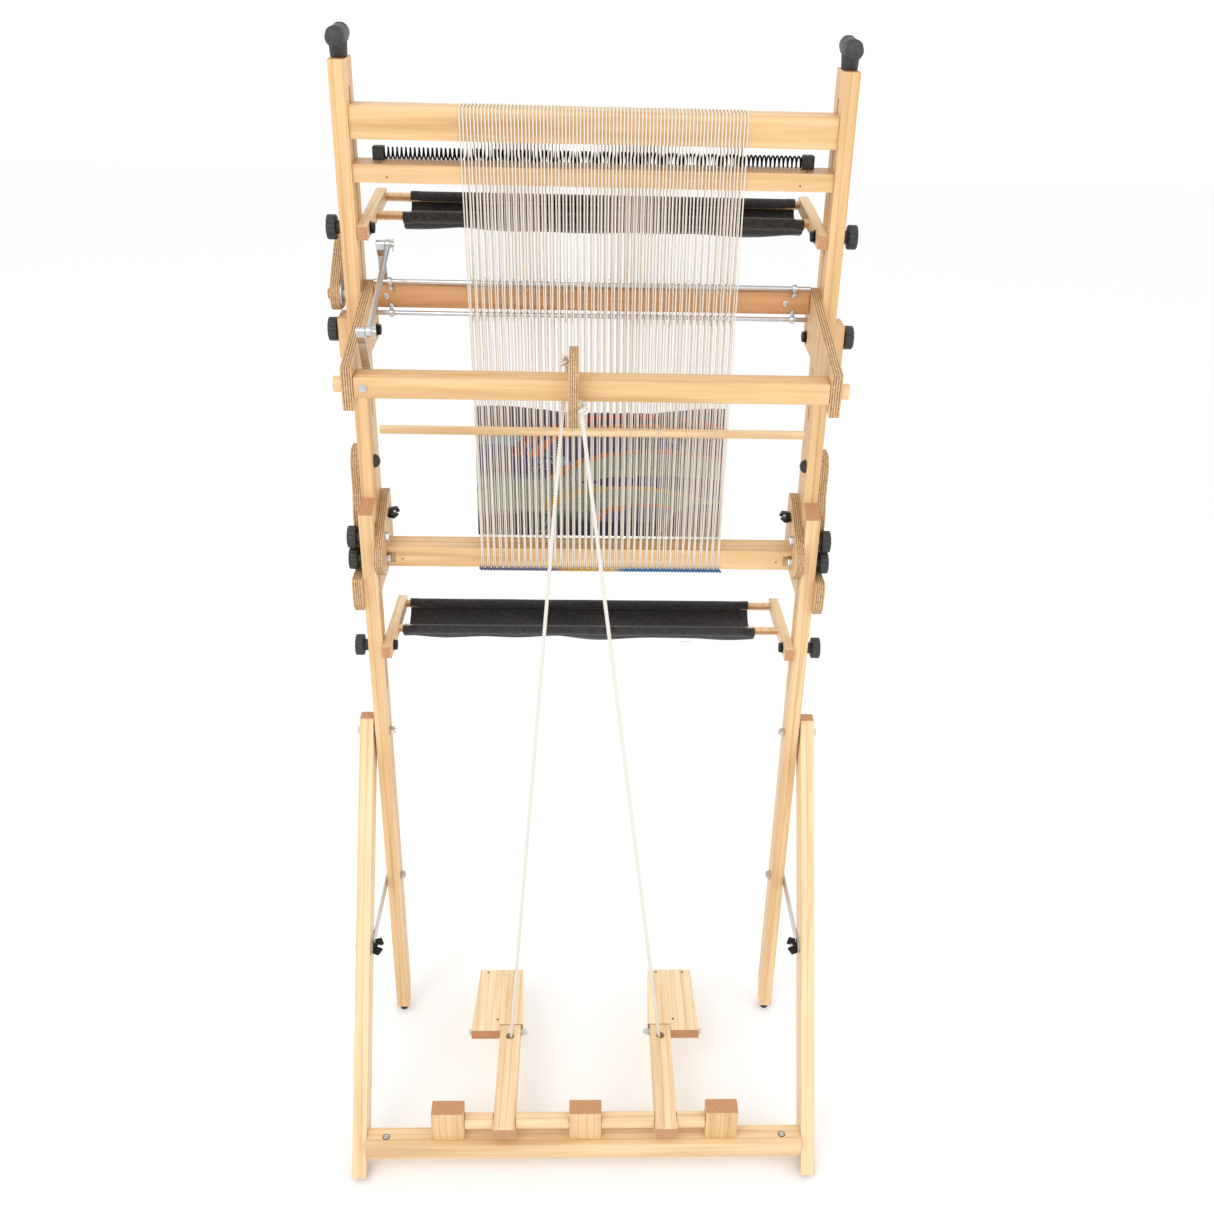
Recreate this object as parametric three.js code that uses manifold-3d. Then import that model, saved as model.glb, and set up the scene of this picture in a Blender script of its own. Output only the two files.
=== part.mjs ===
// A floor-standing tapestry loom: slotted posts on a folding stand, a top beam raised by T handles,
// a shedding frame worked by two treadles and their ropes, and two cloth trays.
// Millimetres. +X is to the right, +Y goes towards the weaver, +Z is up. Origin: centre of the floor area.
import * as THREE from 'three';
import { mergeVertices } from 'three/addons/utils/BufferGeometryUtils.js';
import Module from 'manifold-3d';

const wasm = await Module();
wasm.setup();

// ---- driving dimensions -------------------------------------------------------------------------
const toCentre = 59.7;        // moves the stand's own Y = 0 so that the floor area's centre is the origin
const toFloor = 8;            // lifts everything so that the feet stand on Z = 0
const gap = 0.3;              // running gap between neighbouring pieces
const postIn = 305;           // inner face of every post, from the middle plane
const postOut = 325;          // outer face of every post
const standDepth = 36.4;      // stand post, front to back
const standTop = 936;
const slotWide = 10;
const standSlotY = 20;
const loomNear = 37;          // near face of the loom post
const loomFar = 93;
const loomSlotY = 65;
const loomFoot = 800;
const loomTop = 1522;
const plyThick = 13.5;
const plateOut = postOut + gap + plyThick;
const boltR = 3.5;
const hingeY = 18;
const hingeZ = 566;
const rearFootY = -325;       // where the rear leg's centre line meets Z = 0
const legIn = 328;
const legOut = 348.5;
const postFoot = 4;           // lower end of the posts and legs, above their feet
const braceZ = 282;
const trayBoltUpperZ = 1317;
const trayBoltLowerZ = 717;
const shedZ = 1182;           // bolt that clamps the shedding frame to the loom post
const rockerY = -130;
const rockerZ = 1171;
const heddleY = 65;           // its axle runs through the loom posts' slots
const heddleZ = 1230;
const axleY = -307;
const axleZ = 81;
const treadleX = 121;
const ropeHoleY = -150;

// ---- materials ------------------------------------------------------------------------------------
const look = (color, roughness, metalness = 0) => new THREE.MeshStandardMaterial({ color, roughness, metalness });
const maple = () => look(0xd9b98c, 0.55);
const ply = () => look(0xd8bd94, 0.6);
const beech = () => look(0xb98a5e, 0.55);
const plastic = () => look(0x141416, 0.45);
const steel = () => look(0xb8b8b6, 0.35, 1);
const blackSteel = () => look(0x1c1c1e, 0.4, 0.6);
const cloth = () => look(0x17171a, 0.9);
const cotton = () => look(0xe9e4d8, 0.95);

// ---- shape helpers --------------------------------------------------------------------------------
const loom = new THREE.Group();
loom.name = 'tapestry_loom';

// a box from its six limits
function box(x0, x1, y0, y1, z0, z1) {
  const g = new THREE.BoxGeometry(x1 - x0, y1 - y0, z1 - z0);
  g.translate((x0 + x1) / 2, (y0 + y1) / 2, (z0 + z1) / 2);
  return g;
}

// an outline in the YZ plane, given as [y, z] points, made thick from x0 to x1
function slab(outline, x0, x1, holes = []) {
  const points = outline.map(([y, z]) => new THREE.Vector2(y, z));
  if (THREE.ShapeUtils.isClockWise(points)) points.reverse();
  const shape = new THREE.Shape(points);
  for (const path of holes) shape.holes.push(path);
  const g = new THREE.ExtrudeGeometry(shape, { depth: x1 - x0, bevelEnabled: false, curveSegments: 8 });
  g.applyMatrix4(new THREE.Matrix4().set(0, 0, 1, x0, 1, 0, 0, 0, 0, 1, 0, 0, 0, 0, 0, 1));
  return g;
}

function roundHole(y, z, r, sides = 16) {
  const path = new THREE.Path();
  for (let i = 0; i < sides; i++) {
    const a = (-2 * Math.PI * i) / sides;
    const put = i ? 'lineTo' : 'moveTo';
    path[put](y + r * Math.cos(a), z + r * Math.sin(a));
  }
  return path;
}

function slotHole(y, z0, z1, wide) {
  const path = new THREE.Path();
  const r = wide / 2;
  for (let i = 0; i <= 8; i++) {
    const a = Math.PI * (1 - i / 8);
    const put = i ? 'lineTo' : 'moveTo';
    path[put](y + r * Math.cos(a), z1 - r + r * Math.sin(a));
  }
  for (let i = 0; i <= 8; i++) {
    const a = -Math.PI * (i / 8);
    path.lineTo(y + r * Math.cos(a), z0 + r + r * Math.sin(a));
  }
  return path;
}

// a cylinder about X, Y or Z through a centre
function rod(axis, x, y, z, r, length, sides = 24) {
  const g = new THREE.CylinderGeometry(r, r, length, sides);
  if (axis === 'x') g.rotateZ(Math.PI / 2);
  if (axis === 'z') g.rotateX(Math.PI / 2);
  g.translate(x, y, z);
  return g;
}

function toSolid(geometry) {
  const g = geometry.clone();
  g.deleteAttribute('normal');
  g.deleteAttribute('uv');
  const m = mergeVertices(g, 1e-4);
  const vertProperties = new Float32Array(m.attributes.position.array);
  const triVerts = new Uint32Array(m.index.array);
  return new wasm.Manifold(new wasm.Mesh({ numProp: 3, vertProperties, triVerts }));
}

function toGeometry(solid) {
  const mesh = solid.getMesh();
  const g = new THREE.BufferGeometry();
  g.setAttribute('position', new THREE.BufferAttribute(new Float32Array(mesh.vertProperties), 3));
  g.setIndex(new THREE.BufferAttribute(new Uint32Array(mesh.triVerts), 1));
  return g;
}

function join(...pieces) {
  return toGeometry(pieces.map(toSolid).reduce((a, b) => a.add(b)));
}

function cut(piece, ...tools) {
  return toGeometry(tools.map(toSolid).reduce((a, b) => a.subtract(b), toSolid(piece)));
}

function turnedX(geometry, degrees, y, z) {
  const g = geometry.clone();
  g.translate(0, -y, -z);
  g.rotateX(THREE.MathUtils.degToRad(degrees));
  g.translate(0, y, z);
  return g;
}

function mirrored(geometry) {
  const solid = toSolid(geometry);
  return toGeometry(solid.mirror([1, 0, 0]));
}

function add(name, geometry, material) {
  const g = geometry.index ? geometry.toNonIndexed() : geometry.clone();
  g.translate(0, toCentre, toFloor);
  g.deleteAttribute('normal');
  g.computeVertexNormals();
  const mesh = new THREE.Mesh(g, material);
  mesh.name = name;
  loom.add(mesh);
}

// the right-hand piece, and its mirror image on the left
function addPair(name, geometry, material) {
  add(`${name}_right`, geometry, material());
  add(`${name}_left`, mirrored(geometry), material());
}

// ---- stand: front posts, rear legs, stretcher, brace straps -----------------------------------------
const rise = 11;              // the post's top slopes up towards the weaver
const standPost = join(
  slab([[0, postFoot], [standDepth - 14, postFoot], [standDepth, 44], [standDepth, standTop + rise], [0, standTop]],
    postIn, postOut,
    [slotHole(standSlotY, 640, 918, slotWide), roundHole(hingeY, hingeZ, boltR + 0.2),
      roundHole(hingeY, braceZ, boltR + 0.2)]),
  rod('z', (postIn + postOut) / 2, 12, (postFoot + 1 - toFloor) / 2, 6.5, postFoot + 1 + toFloor, 20));
addPair('stand_post', standPost, maple);

// the rear leg runs from above its hinge bolt down to its foot
const legRun = hingeY - rearFootY;
const legLean = Math.atan2(legRun, hingeZ);
const legLength = Math.hypot(legRun, hingeZ);
const legHalf = 21;
const legBottom = -(legLength - (postFoot - legHalf * Math.sin(legLean)) / Math.cos(legLean)) - 2;
const alongLeg = (d) => [hingeY - d * Math.sin(legLean), hingeZ - d * Math.cos(legLean)];
const wingAt = 330;           // brace bolt, measured down the leg from the hinge
const [wingY, wingZ] = alongLeg(wingAt);
const legPath = [[-legHalf, legBottom], [legHalf, legBottom], [legHalf, 20], [legHalf - 8, 28], [-6, 28],
  [-legHalf, 18]];
const legShape = slab(legPath, legIn, legOut,
  [roundHole(0, 0, boltR + 0.2), roundHole(0, -wingAt, boltR + 0.2)]);
const legTurned = turnedX(legShape, -THREE.MathUtils.radToDeg(legLean), 0, 0);
legTurned.translate(0, hingeY, hingeZ);
const rearLeg = join(
  cut(legTurned, box(legIn - 5, legOut + 5, rearFootY - 60, rearFootY + 90, -60, postFoot)),
  rod('z', (legIn + legOut) / 2, rearFootY + 2, (postFoot + 1 - toFloor) / 2, 6.5, postFoot + 1 + toFloor, 20));
addPair('rear_leg', rearLeg, maple);

const stretchNear = -330;
const stretchDeep = 34;
const stretchZ0 = 26;
const stretchZ1 = 54;
add('stretcher', box(-legIn + gap, legIn - gap, stretchNear, stretchNear + stretchDeep, stretchZ0, stretchZ1),
  maple());

// hinge bolt: head outside the rear leg, nut inside the stand post, spacing washer between the two
const hingeBolt = join(
  rod('x', (legOut + 6 + postIn - 9) / 2, hingeY, hingeZ, boltR, legOut + 6 - postIn + 9, 16),
  rod('x', legOut + gap + 2.8, hingeY, hingeZ, 7, 5, 6),
  rod('x', postIn - gap - 3.2, hingeY, hingeZ, 7, 5.6, 6),
  rod('x', (postOut + legIn) / 2, hingeY, hingeZ, 9, legIn - postOut - 2 * gap, 20));
addPair('hinge_bolt', hingeBolt, steel);

// brace strap: flat steel in the space between post and leg, with its own bolt through the post
const strapRun = Math.hypot(hingeY - wingY, wingZ - braceZ);
const strapTilt = Math.atan2(wingZ - braceZ, hingeY - wingY);
function strapOutline(half, length) {
  const pts = [];
  for (let i = 0; i <= 8; i++) pts.push([half * Math.sin((Math.PI * i) / 8), half * Math.cos((Math.PI * i) / 8)]);
  for (let i = 0; i <= 8; i++) {
    pts.push([-length - half * Math.sin((Math.PI * i) / 8), -half * Math.cos((Math.PI * i) / 8)]);
  }
  return pts;
}
// its outer end is a hook: a slot, open downwards, that drops over the wing nut's bolt
const hookR = 4.2;
const hookLean = 24;
const hookSlot = turnedX(box(postOut, legIn, -strapRun - hookR, -strapRun + hookR, -30, 0), hookLean, -strapRun, 0);
let strap = cut(slab(strapOutline(10, strapRun), postOut + 0.5, legIn - 0.5), hookSlot,
  rod('x', (postOut + legIn) / 2, -strapRun, 0, hookR, 6, 24));
strap = turnedX(strap, -THREE.MathUtils.radToDeg(strapTilt), 0, 0);
strap.translate(0, hingeY, braceZ);
const brace = join(strap,
  rod('x', (postOut + 1 + postIn - 8) / 2, hingeY, braceZ, boltR, postOut + 1 - postIn + 8, 16),
  rod('x', postIn - gap - 3.2, hingeY, braceZ, 7, 5.6, 6));
addPair('brace_strap', brace, steel);

// wing nut with its bolt; the wings stand up on the inner side
function wingNut(xHead, xNut, y, z, headR) {
  const a = xHead - xNut;
  return join(
    rod('x', (xHead + xNut) / 2, y, z, boltR, a + 2, 16),
    rod('x', xHead + 2.3, y, z, headR, 4, 16),
    rod('x', xNut - 3.4, y, z, 6.5, 6.4, 16),
    box(xNut - 13, xNut - 3, y - 17, y - 3, z - 2, z + 2),
    box(xNut - 13, xNut - 3, y + 3, y + 17, z - 2, z + 2));
}
addPair('brace_wing_nut', wingNut(legOut + gap, postOut + 0.2, wingY, wingZ, 7), blackSteel);

// ---- loom frame: posts, plates, bottom beam -----------------------------------------------------------
const loomPost = slab([[loomNear, loomFoot], [loomFar, loomFoot], [loomFar, loomTop], [loomNear, loomTop]],
  postIn, postOut, [slotHole(loomSlotY, 1060, 1490, slotWide), roundHole(loomSlotY, 912, boltR + 0.2)]);
const screwHole = rod('z', (postIn + postOut) / 2, loomSlotY, 1510, 3.4, 60, 16);
addPair('loom_post', cut(loomPost, screwHole), maple);

// outer plate: plywood with cut corners and a waist, joins the loom post to the stand post
const knobUpZ = 894;
const knobLowZ = 860;
const outerPlate = slab([[30, 788], [44, 800], [56, 850], [78, 890], [94, 940], [94, 1000], [84, 1011], [60, 1011],
  [48, 993], [48, 950], [38, 926], [38, 846], [30, 841], [-10, 841], [-14, 836], [-14, 802], [-4, 788]],
  postOut + gap, plateOut, [roundHole(loomSlotY, 912, boltR + 0.2)]);
addPair('splice_plate', outerPlate, ply);

// inner plate: carries the bottom beam
const innerPlate = slab([[94, 858], [94, 938], [72, 938], [-16, 890], [-24, 880], [-24, 868], [-14, 856], [10, 838],
  [74, 838]], postIn - gap - 12.4, postIn - gap,
  [roundHole(standSlotY, knobUpZ, boltR + 0.2), roundHole(standSlotY, knobLowZ, boltR + 0.2),
    roundHole(loomSlotY, 912, boltR + 0.2)]);
addPair('bracket_plate', innerPlate, ply);
const bracketIn = postIn - gap - 12.4;

const lowBeamY0 = 24;
const lowBeamY1 = 62;
const lowBeamZ0 = 846;
const lowBeamZ1 = 876;
const lowBeam = cut(box(-bracketIn + gap, bracketIn - gap, lowBeamY0, lowBeamY1, lowBeamZ0, lowBeamZ1),
  ...[-1, 1].flatMap((s) => [knobLowZ].map((z) => rod('x', s * bracketIn, standSlotY, z, 9, 24, 16))));
add('bottom_beam', lowBeam, maple());

addPair('frame_wing_nut', wingNut(plateOut + gap, bracketIn - gap, loomSlotY, 912, 8), blackSteel);

// a round hand knob: wide rim, narrower hub, bolt inward to a flat washer and nut
const rimThick = 12.5;
function knob(xHub, y, z, xNut, hub) {
  return join(
    rod('x', xHub + gap + hub / 2, y, z, 8.5, hub, 20),
    rod('x', xHub + gap + hub - 0.1 + rimThick / 2, y, z, 15.8, rimThick, 32),
    rod('x', (xHub + hub + 2 + xNut - 6) / 2, y, z, boltR, xHub + hub + 2 - xNut + 6, 16),
    rod('x', xNut - 2.9, y, z, 7.5, 5.2, 6));
}
addPair('stand_knob_upper', knob(postOut, standSlotY, knobUpZ, bracketIn - gap, 7), plastic);
addPair('stand_knob_lower', knob(postOut, standSlotY, knobLowZ, bracketIn - gap, 7), plastic);

// ---- top beam with its tenons, T handles, spring beam ------------------------------------------------
const beamNear = 41;
const beamFar = 89;
const beamZ0 = 1430;
const beamZ1 = 1469;
const beamBevel = 5;
const beamOutline = [[beamNear, beamZ0], [beamFar, beamZ0], [beamFar, beamZ1 - beamBevel],
  [beamFar - beamBevel, beamZ1], [beamNear + beamBevel, beamZ1], [beamNear, beamZ1 - beamBevel]];
const handleX = (postIn + postOut) / 2;
const screwR = 2.8;           // the T handle's screw, which runs down through the beam's tenon
const topBeam = cut(join(
  slab(beamOutline, -postIn + gap, postIn - gap),
  box(-postOut + 1, postOut - 1, loomSlotY - slotWide / 2 + 0.6, loomSlotY + slotWide / 2 - 0.6, beamZ0 + 2, beamZ1 - 3)),
  rod('z', handleX, loomSlotY, beamZ0 + 20, screwR + 0.4, 80, 16),
  rod('z', -handleX, loomSlotY, beamZ0 + 20, screwR + 0.4, 80, 16));
add('top_beam', topBeam, maple());

const screwFoot = beamZ0 + 6;
const handle = join(
  rod('z', handleX, loomSlotY, (screwFoot + 1545) / 2, screwR, 1545 - screwFoot, 16),
  rod('z', handleX, loomSlotY, loomTop + gap + 10, 11.5, 20, 24),
  rod('y', handleX, loomSlotY, loomTop + 25, 12, 60, 20));
addPair('tension_handle', handle, plastic);

const springBeamY1 = 91;
const springBeamZ1 = 1400;
const springBeamZ0 = 1378;
const springBeam = box(-postIn + gap, postIn - gap, beamNear, springBeamY1, springBeamZ0, springBeamZ1);
add('spring_beam', springBeam, maple());
const springY = 78;
const springEnd = 283;
const warpSpring = join(
  rod('x', 0, springY, springBeamZ1 + gap + 8.4, 8, 2 * springEnd, 16),
  box(-springEnd, -springEnd + 15, springY - 8, springY + 8, springBeamZ1 + gap, springBeamZ1 + 17),
  box(springEnd - 15, springEnd, springY - 8, springY + 8, springBeamZ1 + gap, springBeamZ1 + 17));
add('warp_spring', warpSpring, blackSteel());

// ---- cloth trays ----------------------------------------------------------------------------------------
// Each tray: two arms and two dowels glued into one frame, and a cloth that hangs between the dowels.
function tray(level, boltY, boltZ, slope, clothX0, clothX1) {
  const armIn = postIn - gap - 14;
  const armOut = postIn - gap;
  const y0 = boltY - 27;
  const y1 = boltY + 163;
  const dowelNear = boltY + 58;
  const dowelFar = y1 - 13;
  const arm = slab([[y0, boltZ - 9], [y1 - 10, boltZ - 9], [y1, boltZ - 1], [y1, boltZ + 9], [y0, boltZ + 9]],
    armIn, armOut, [roundHole(boltY, boltZ, boltR + 0.2)]);
  const frame = join(arm, mirrored(arm),
    rod('x', 0, dowelNear, boltZ, 6, 2 * armIn + 4, 16), rod('x', 0, dowelFar, boltZ, 6, 2 * armIn + 4, 16));
  add(`${level}_tray_frame`, turnedX(frame, slope, boltY, boltZ), maple());
  // cloth: a sleeve round each dowel and a sagging trough between them
  const mid = (dowelNear + dowelFar) / 2;
  const half = (dowelFar - dowelNear) / 2;
  const sag = 26;
  const skin = 1.6;
  const arc = (side, off) => {
    const pts = [];
    for (let i = 0; i <= 12; i++) {
      const t = -1 + (2 * i) / 12;
      pts.push([mid + t * (half - 8.4 - off) * side, boltZ - 2 - (sag - off) * (1 - t * t)]);
    }
    return pts;
  };
  const trough = slab([...arc(1, -skin / 2), ...arc(-1, skin / 2).map(([y, z]) => [y, z + skin / 2])], clothX0, clothX1);
  const sleeve = (y) => cut(rod('x', (clothX0 + clothX1) / 2, y, boltZ, 8.4, clothX1 - clothX0, 20),
    rod('x', (clothX0 + clothX1) / 2, y, boltZ, 6.4, clothX1 - clothX0 + 4, 20));
  const hung = join(trough, sleeve(dowelNear), sleeve(dowelFar));
  add(`${level}_tray_cloth`, turnedX(hung, slope, boltY, boltZ), cloth());
  addPair(`${level}_tray_knob`, knob(postOut, boltY, boltZ, armIn, 8.4), plastic);
}
tray('upper', loomSlotY, trayBoltUpperZ, 4, -255, 284);
tray('lower', standSlotY, trayBoltLowerZ, -4, -284, 255);

// ---- shedding frame ------------------------------------------------------------------------------------
const heddleAxleR = 4.3;
const axleHole = 4.6;
const shedIn = postIn - gap - plyThick;
const shedOut = postIn - gap;
// side plate inside the post, guide block outside it, and the tongue between them in the post's slot
const shedPlate = cut(join(
  slab([[rockerY - 18, 1143], [14, 1168], [74, 1169], [86, 1182], [86, 1238], [75, 1247], [41, 1240],
    [rockerY - 18, 1197]], shedIn, shedOut,
    [roundHole(rockerY, rockerZ, 10.3, 24), roundHole(heddleY, heddleZ, axleHole, 20)]),
  slab([[38, 1150], [92, 1150], [92, 1194], [80, 1204], [38, 1204]], postOut + gap, postOut + gap + 13),
  box(shedOut - 1, postOut + 2, loomSlotY - slotWide / 2 + 0.6, loomSlotY + slotWide / 2 - 0.6, shedZ - 20, shedZ + 20)),
  rod('x', postOut, loomSlotY, shedZ, boltR + 0.2, 120, 16));
addPair('shed_plate', shedPlate, ply);
addPair('shed_knob', knob(postOut + gap + 13, loomSlotY, shedZ, shedIn, 4), plastic);

// heddle bar: two steel rods stand off it on eye bolts, one above and one below
const heddleRods = [-1, 1].flatMap((side) => [
  rod('x', 0, heddleY - 13, heddleZ + 21 * side, 3, 578, 12),
  ...[-268, 268].map((x) => box(x - 4, x + 4, heddleY - 16, heddleY - 10, heddleZ + (side < 0 ? -26 : 10),
    heddleZ + (side < 0 ? -10 : 26))),
  ...[-268, 268].map((x) => box(x - 3, x + 3, heddleY - 16, heddleY - 8, heddleZ + 12 * side - 3, heddleZ + 12 * side + 3))]);
const heddleBar = join(
  box(-shedIn + gap, shedIn - gap, heddleY - 9, heddleY + 9, heddleZ - 15, heddleZ + 15),
  rod('x', 0, heddleY, heddleZ, heddleAxleR, 2 * shedOut + 16, 16), ...heddleRods);
add('heddle_bar', heddleBar, beech());

// rocker beam on round tenons, with the disc in its middle that the two treadle ropes are knotted to
const camX = -24;
const camR = 50;
const camReach = 42;          // how far before and behind the axis the ropes are tied
const rocker = join(
  box(-shedIn + gap, shedIn - gap, rockerY - 18, rockerY + 18, rockerZ - 12, rockerZ + 14),
  rod('x', 0, rockerY, rockerZ, 10, 2 * shedOut + 22, 24), rod('x', camX, rockerY, rockerZ, camR, 12, 40));
add('rocker_beam', rocker, maple());

// shed linkage on the left: a bent steel strap on each beam and a round rod between their upper ends,
// so that rocker, rod and heddle bar turn together as a parallelogram
const armX = -279;
const armHalf = 5;
const armUp = 66;
function bentStrap(y, z, foot, side) {
  const eye = [];
  for (let i = 0; i <= 10; i++) {
    const a = Math.PI * (1 - i / 10);
    eye.push([5.5 * Math.cos(a), armUp + 5.5 * Math.sin(a)]);
  }
  const pts = [[-foot - 3, -20], [-foot - 3, 18], [-5.5, armUp - 14], ...eye, [5.5, armUp - 6], [-2, armUp - 16],
    [-foot, 16], [-foot, -20]];
  const outline = pts.map(([a, b]) => [y + side * a, z + b]);
  return slab(outline, armX - armHalf, armX + armHalf);
}
const linkPin = (y, z) => rod('x', armX + armHalf + 3, y, z, 2.5, 14, 12);
add('rocker_strap', join(bentStrap(rockerY, rockerZ, 18 + gap, -1), linkPin(rockerY, rockerZ + armUp)), steel());
add('heddle_strap', join(bentStrap(heddleY, heddleZ, 9 + gap, -1), linkPin(heddleY, heddleZ + armUp)), steel());
const linkX = armX + armHalf + 4.5;
const linkLength = Math.hypot(heddleY - rockerY, heddleZ - rockerZ);
const linkSlope = THREE.MathUtils.radToDeg(Math.atan2(heddleZ - rockerZ, heddleY - rockerY));
const link = turnedX(cut(join(
  rod('y', linkX, linkLength / 2, 0, 3.7, linkLength, 16),
  rod('x', linkX, 0, 0, 6.5, 6, 20), rod('x', linkX, linkLength, 0, 6.5, 6, 20)),
  rod('x', linkX, 0, 0, 2.6, 20, 16), rod('x', linkX, linkLength, 0, 2.6, 20, 16)), linkSlope, 0, 0);
link.translate(0, rockerY, rockerZ + armUp);
add('connecting_rod', link, steel());

// hand lever on the heddle bar's axle, outside the left post, leaning towards the weaver
const handHub = 21;
const handReach = 96;
const handTip = 13;
const handLean = 47;
const handX0 = -347;
const handX1 = -335;
function leverOutline() {
  const pts = [];
  for (let i = 0; i <= 12; i++) {
    const a = Math.PI + (Math.PI * i) / 12;
    pts.push([heddleY + handHub * Math.cos(a), heddleZ + handHub * Math.sin(a)]);
  }
  for (let i = 0; i <= 10; i++) {
    const a = (Math.PI * i) / 10;
    pts.push([heddleY + handTip * Math.cos(a), heddleZ + handReach + handTip * Math.sin(a)]);
  }
  return pts;
}
const handLever = join(
  turnedX(slab(leverOutline(), handX0, handX1), -handLean, heddleY, heddleZ),
  rod('x', (handX0 - 4 - shedOut - 10) / 2, heddleY, heddleZ, 4, -handX0 + 4 - shedOut - 10, 16),
  rod('x', handX0 - 2.6, heddleY, heddleZ, 7, 5.6, 6),
  rod('x', (handX1 - postOut - gap) / 2, heddleY, heddleZ, 9, -handX1 - postOut - gap + 0.4, 20),
  rod('x', handX1 + 1.4, heddleY, heddleZ, 18, 3, 28));
add('hand_lever', handLever, ply());

// ---- treadles ------------------------------------------------------------------------------------------
const blockWide = 48;
const axleR = 4.8;
for (const [name, x] of [['left', -205], ['centre', 0], ['right', 205]]) {
  const block = cut(box(x - blockWide / 2, x + blockWide / 2, axleY - 13, axleY + 13, stretchZ1 + gap, axleZ + 28),
    rod('x', x, axleY, axleZ, axleR + 0.2, 80, 20));
  add(`treadle_block_${name}`, block, maple());
}
const leverHalf = 16.5;
const spans = [[205 - blockWide / 2, treadleX + leverHalf], [treadleX - leverHalf, blockWide / 2]];
const sleeves = spans.flatMap(([a, b]) => [-1, 1].map((s) => rod('x', (s * (a + b)) / 2, axleY, axleZ, 12, a - b - 1.6, 24)));
add('treadle_axle', join(rod('x', 0, axleY, axleZ, axleR, 458, 20), ...sleeves), maple());
const leverNear = axleY - 26;
const leverFar = -127;
const treadleLever = cut(box(treadleX - leverHalf, treadleX + leverHalf, leverNear, leverFar, axleZ - 10, axleZ + 10),
  rod('x', treadleX, axleY, axleZ, axleR + 0.15, 60, 20), rod('z', treadleX, ropeHoleY, axleZ, 6.8, 40, 20),
  rod('x', treadleX, leverFar - 6, axleZ, 2.7, 60, 12));
addPair('treadle_lever', treadleLever, maple);
const boardTop = axleZ + 11;
const boardThick = 18;
const boardNear = -140;
const boardFar = -4;
const leverSide = treadleX + leverHalf + 0.6;
const boardOutline = [[leverSide, boardNear], [184, boardNear], [178, boardFar], [106, boardFar],
  [treadleX - leverHalf - 3, leverFar + 0.6], [leverSide, leverFar + 0.6]];
function floorSlab(outline, z0, z1) {
  const shape = new THREE.Shape(outline.map(([x, y]) => new THREE.Vector2(x, y)));
  const g = new THREE.ExtrudeGeometry(shape, { depth: z1 - z0, bevelEnabled: false });
  g.translate(0, 0, z0);
  return g;
}
const board = cut(floorSlab(boardOutline, boardTop - boardThick, boardTop),
  rod('x', 160, leverFar - 6, axleZ, 2.7, 80, 12));
addPair('footboard', board, ply);

// ropes: straight and tight, from a knot under the treadle lever to a knot at the rope plate's end
const ropeR = 2.5;
for (const [name, side, reach, up] of [['left', -1, camReach, 16], ['right', 1, -camReach, -16]]) {
  const low = new THREE.Vector3(side * treadleX, ropeHoleY, axleZ - 11);
  const high = new THREE.Vector3(camX + side * 9.6, rockerY + reach, rockerZ + up);
  const line = new THREE.Vector3().subVectors(high, low);
  const cord = new THREE.CylinderGeometry(ropeR, ropeR, line.length(), 10);
  cord.applyQuaternion(new THREE.Quaternion().setFromUnitVectors(new THREE.Vector3(0, 1, 0), line.clone().normalize()));
  cord.translate(...low.clone().add(high).multiplyScalar(0.5).toArray());
  const knotLow = new THREE.SphereGeometry(6.5, 10, 8);
  knotLow.translate(low.x, low.y, low.z - 6.8);
  const knotHigh = new THREE.SphereGeometry(3.2, 10, 8);
  knotHigh.translate(high.x, high.y, high.z);
  const tail = rod('z', low.x, low.y, low.z - 3, ropeR, 9, 10);
  add(`treadle_rope_${name}`, join(cord, tail, knotLow, knotHigh), cotton());
}

// ---- warp, weaving and the warping dowel -------------------------------------------------------------------
// The warp is one flat sleeve of thread that runs over the top beam and under the bottom beam.
const warpX0 = -164;
const warpX1 = 191;
const warpSkin = 1.4;
function warpOutline(grow) {
  return [[lowBeamY0 - 1 - grow, lowBeamZ0 - 1 - grow], [lowBeamY1 + 1 + grow, lowBeamZ0 - 1 - grow],
    [lowBeamY1 + 1 + grow, lowBeamZ1], [springBeamY1 + 3 + grow, springBeamZ1], [beamFar + 1 + grow, beamZ1 - beamBevel],
    [beamFar - beamBevel + 1 + grow * 0.4, beamZ1 + 1 + grow], [beamNear + beamBevel - 1 - grow * 0.4, beamZ1 + 1 + grow],
    [beamNear - 1 - grow, beamZ1 - beamBevel], [beamNear - 1 - grow, springBeamZ0], [lowBeamY0 - 1 - grow, lowBeamZ1]];
}
const inner = new THREE.Path(warpOutline(0).reverse().map(([y, z]) => new THREE.Vector2(y, z)));
add('warp', slab(warpOutline(warpSkin), warpX0, warpX1, [inner]), cotton());

const nearLayer = (z) => lowBeamY0 + ((beamNear - lowBeamY0) * (z - lowBeamZ1)) / (springBeamZ0 - lowBeamZ1);
const farLayer = (z) => lowBeamY1 + ((springBeamY1 + 3 - lowBeamY1) * (z - lowBeamZ1)) / (springBeamZ1 - lowBeamZ1);
const hemZ = lowBeamZ1 + 2;
const fellZ = 1072;
const clothOff = 1 + warpSkin + 0.6;
const weaving = slab([[farLayer(hemZ) + clothOff, hemZ], [farLayer(hemZ) + clothOff + 2.4, hemZ],
  [farLayer(fellZ) + clothOff + 2.4, fellZ], [farLayer(fellZ) + clothOff, fellZ]], warpX0, warpX1 - 2);
add('tapestry', weaving, look(0x4b3f86, 0.95));
const dowelZ = 1056;
add('warping_dowel', rod('x', 2, nearLayer(dowelZ) - 1 - warpSkin - 6.8, dowelZ, 6, 582, 16), maple());

export default loom;
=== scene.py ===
import math
import random
import bpy
import bmesh
from mathutils import Matrix, Vector


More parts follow.
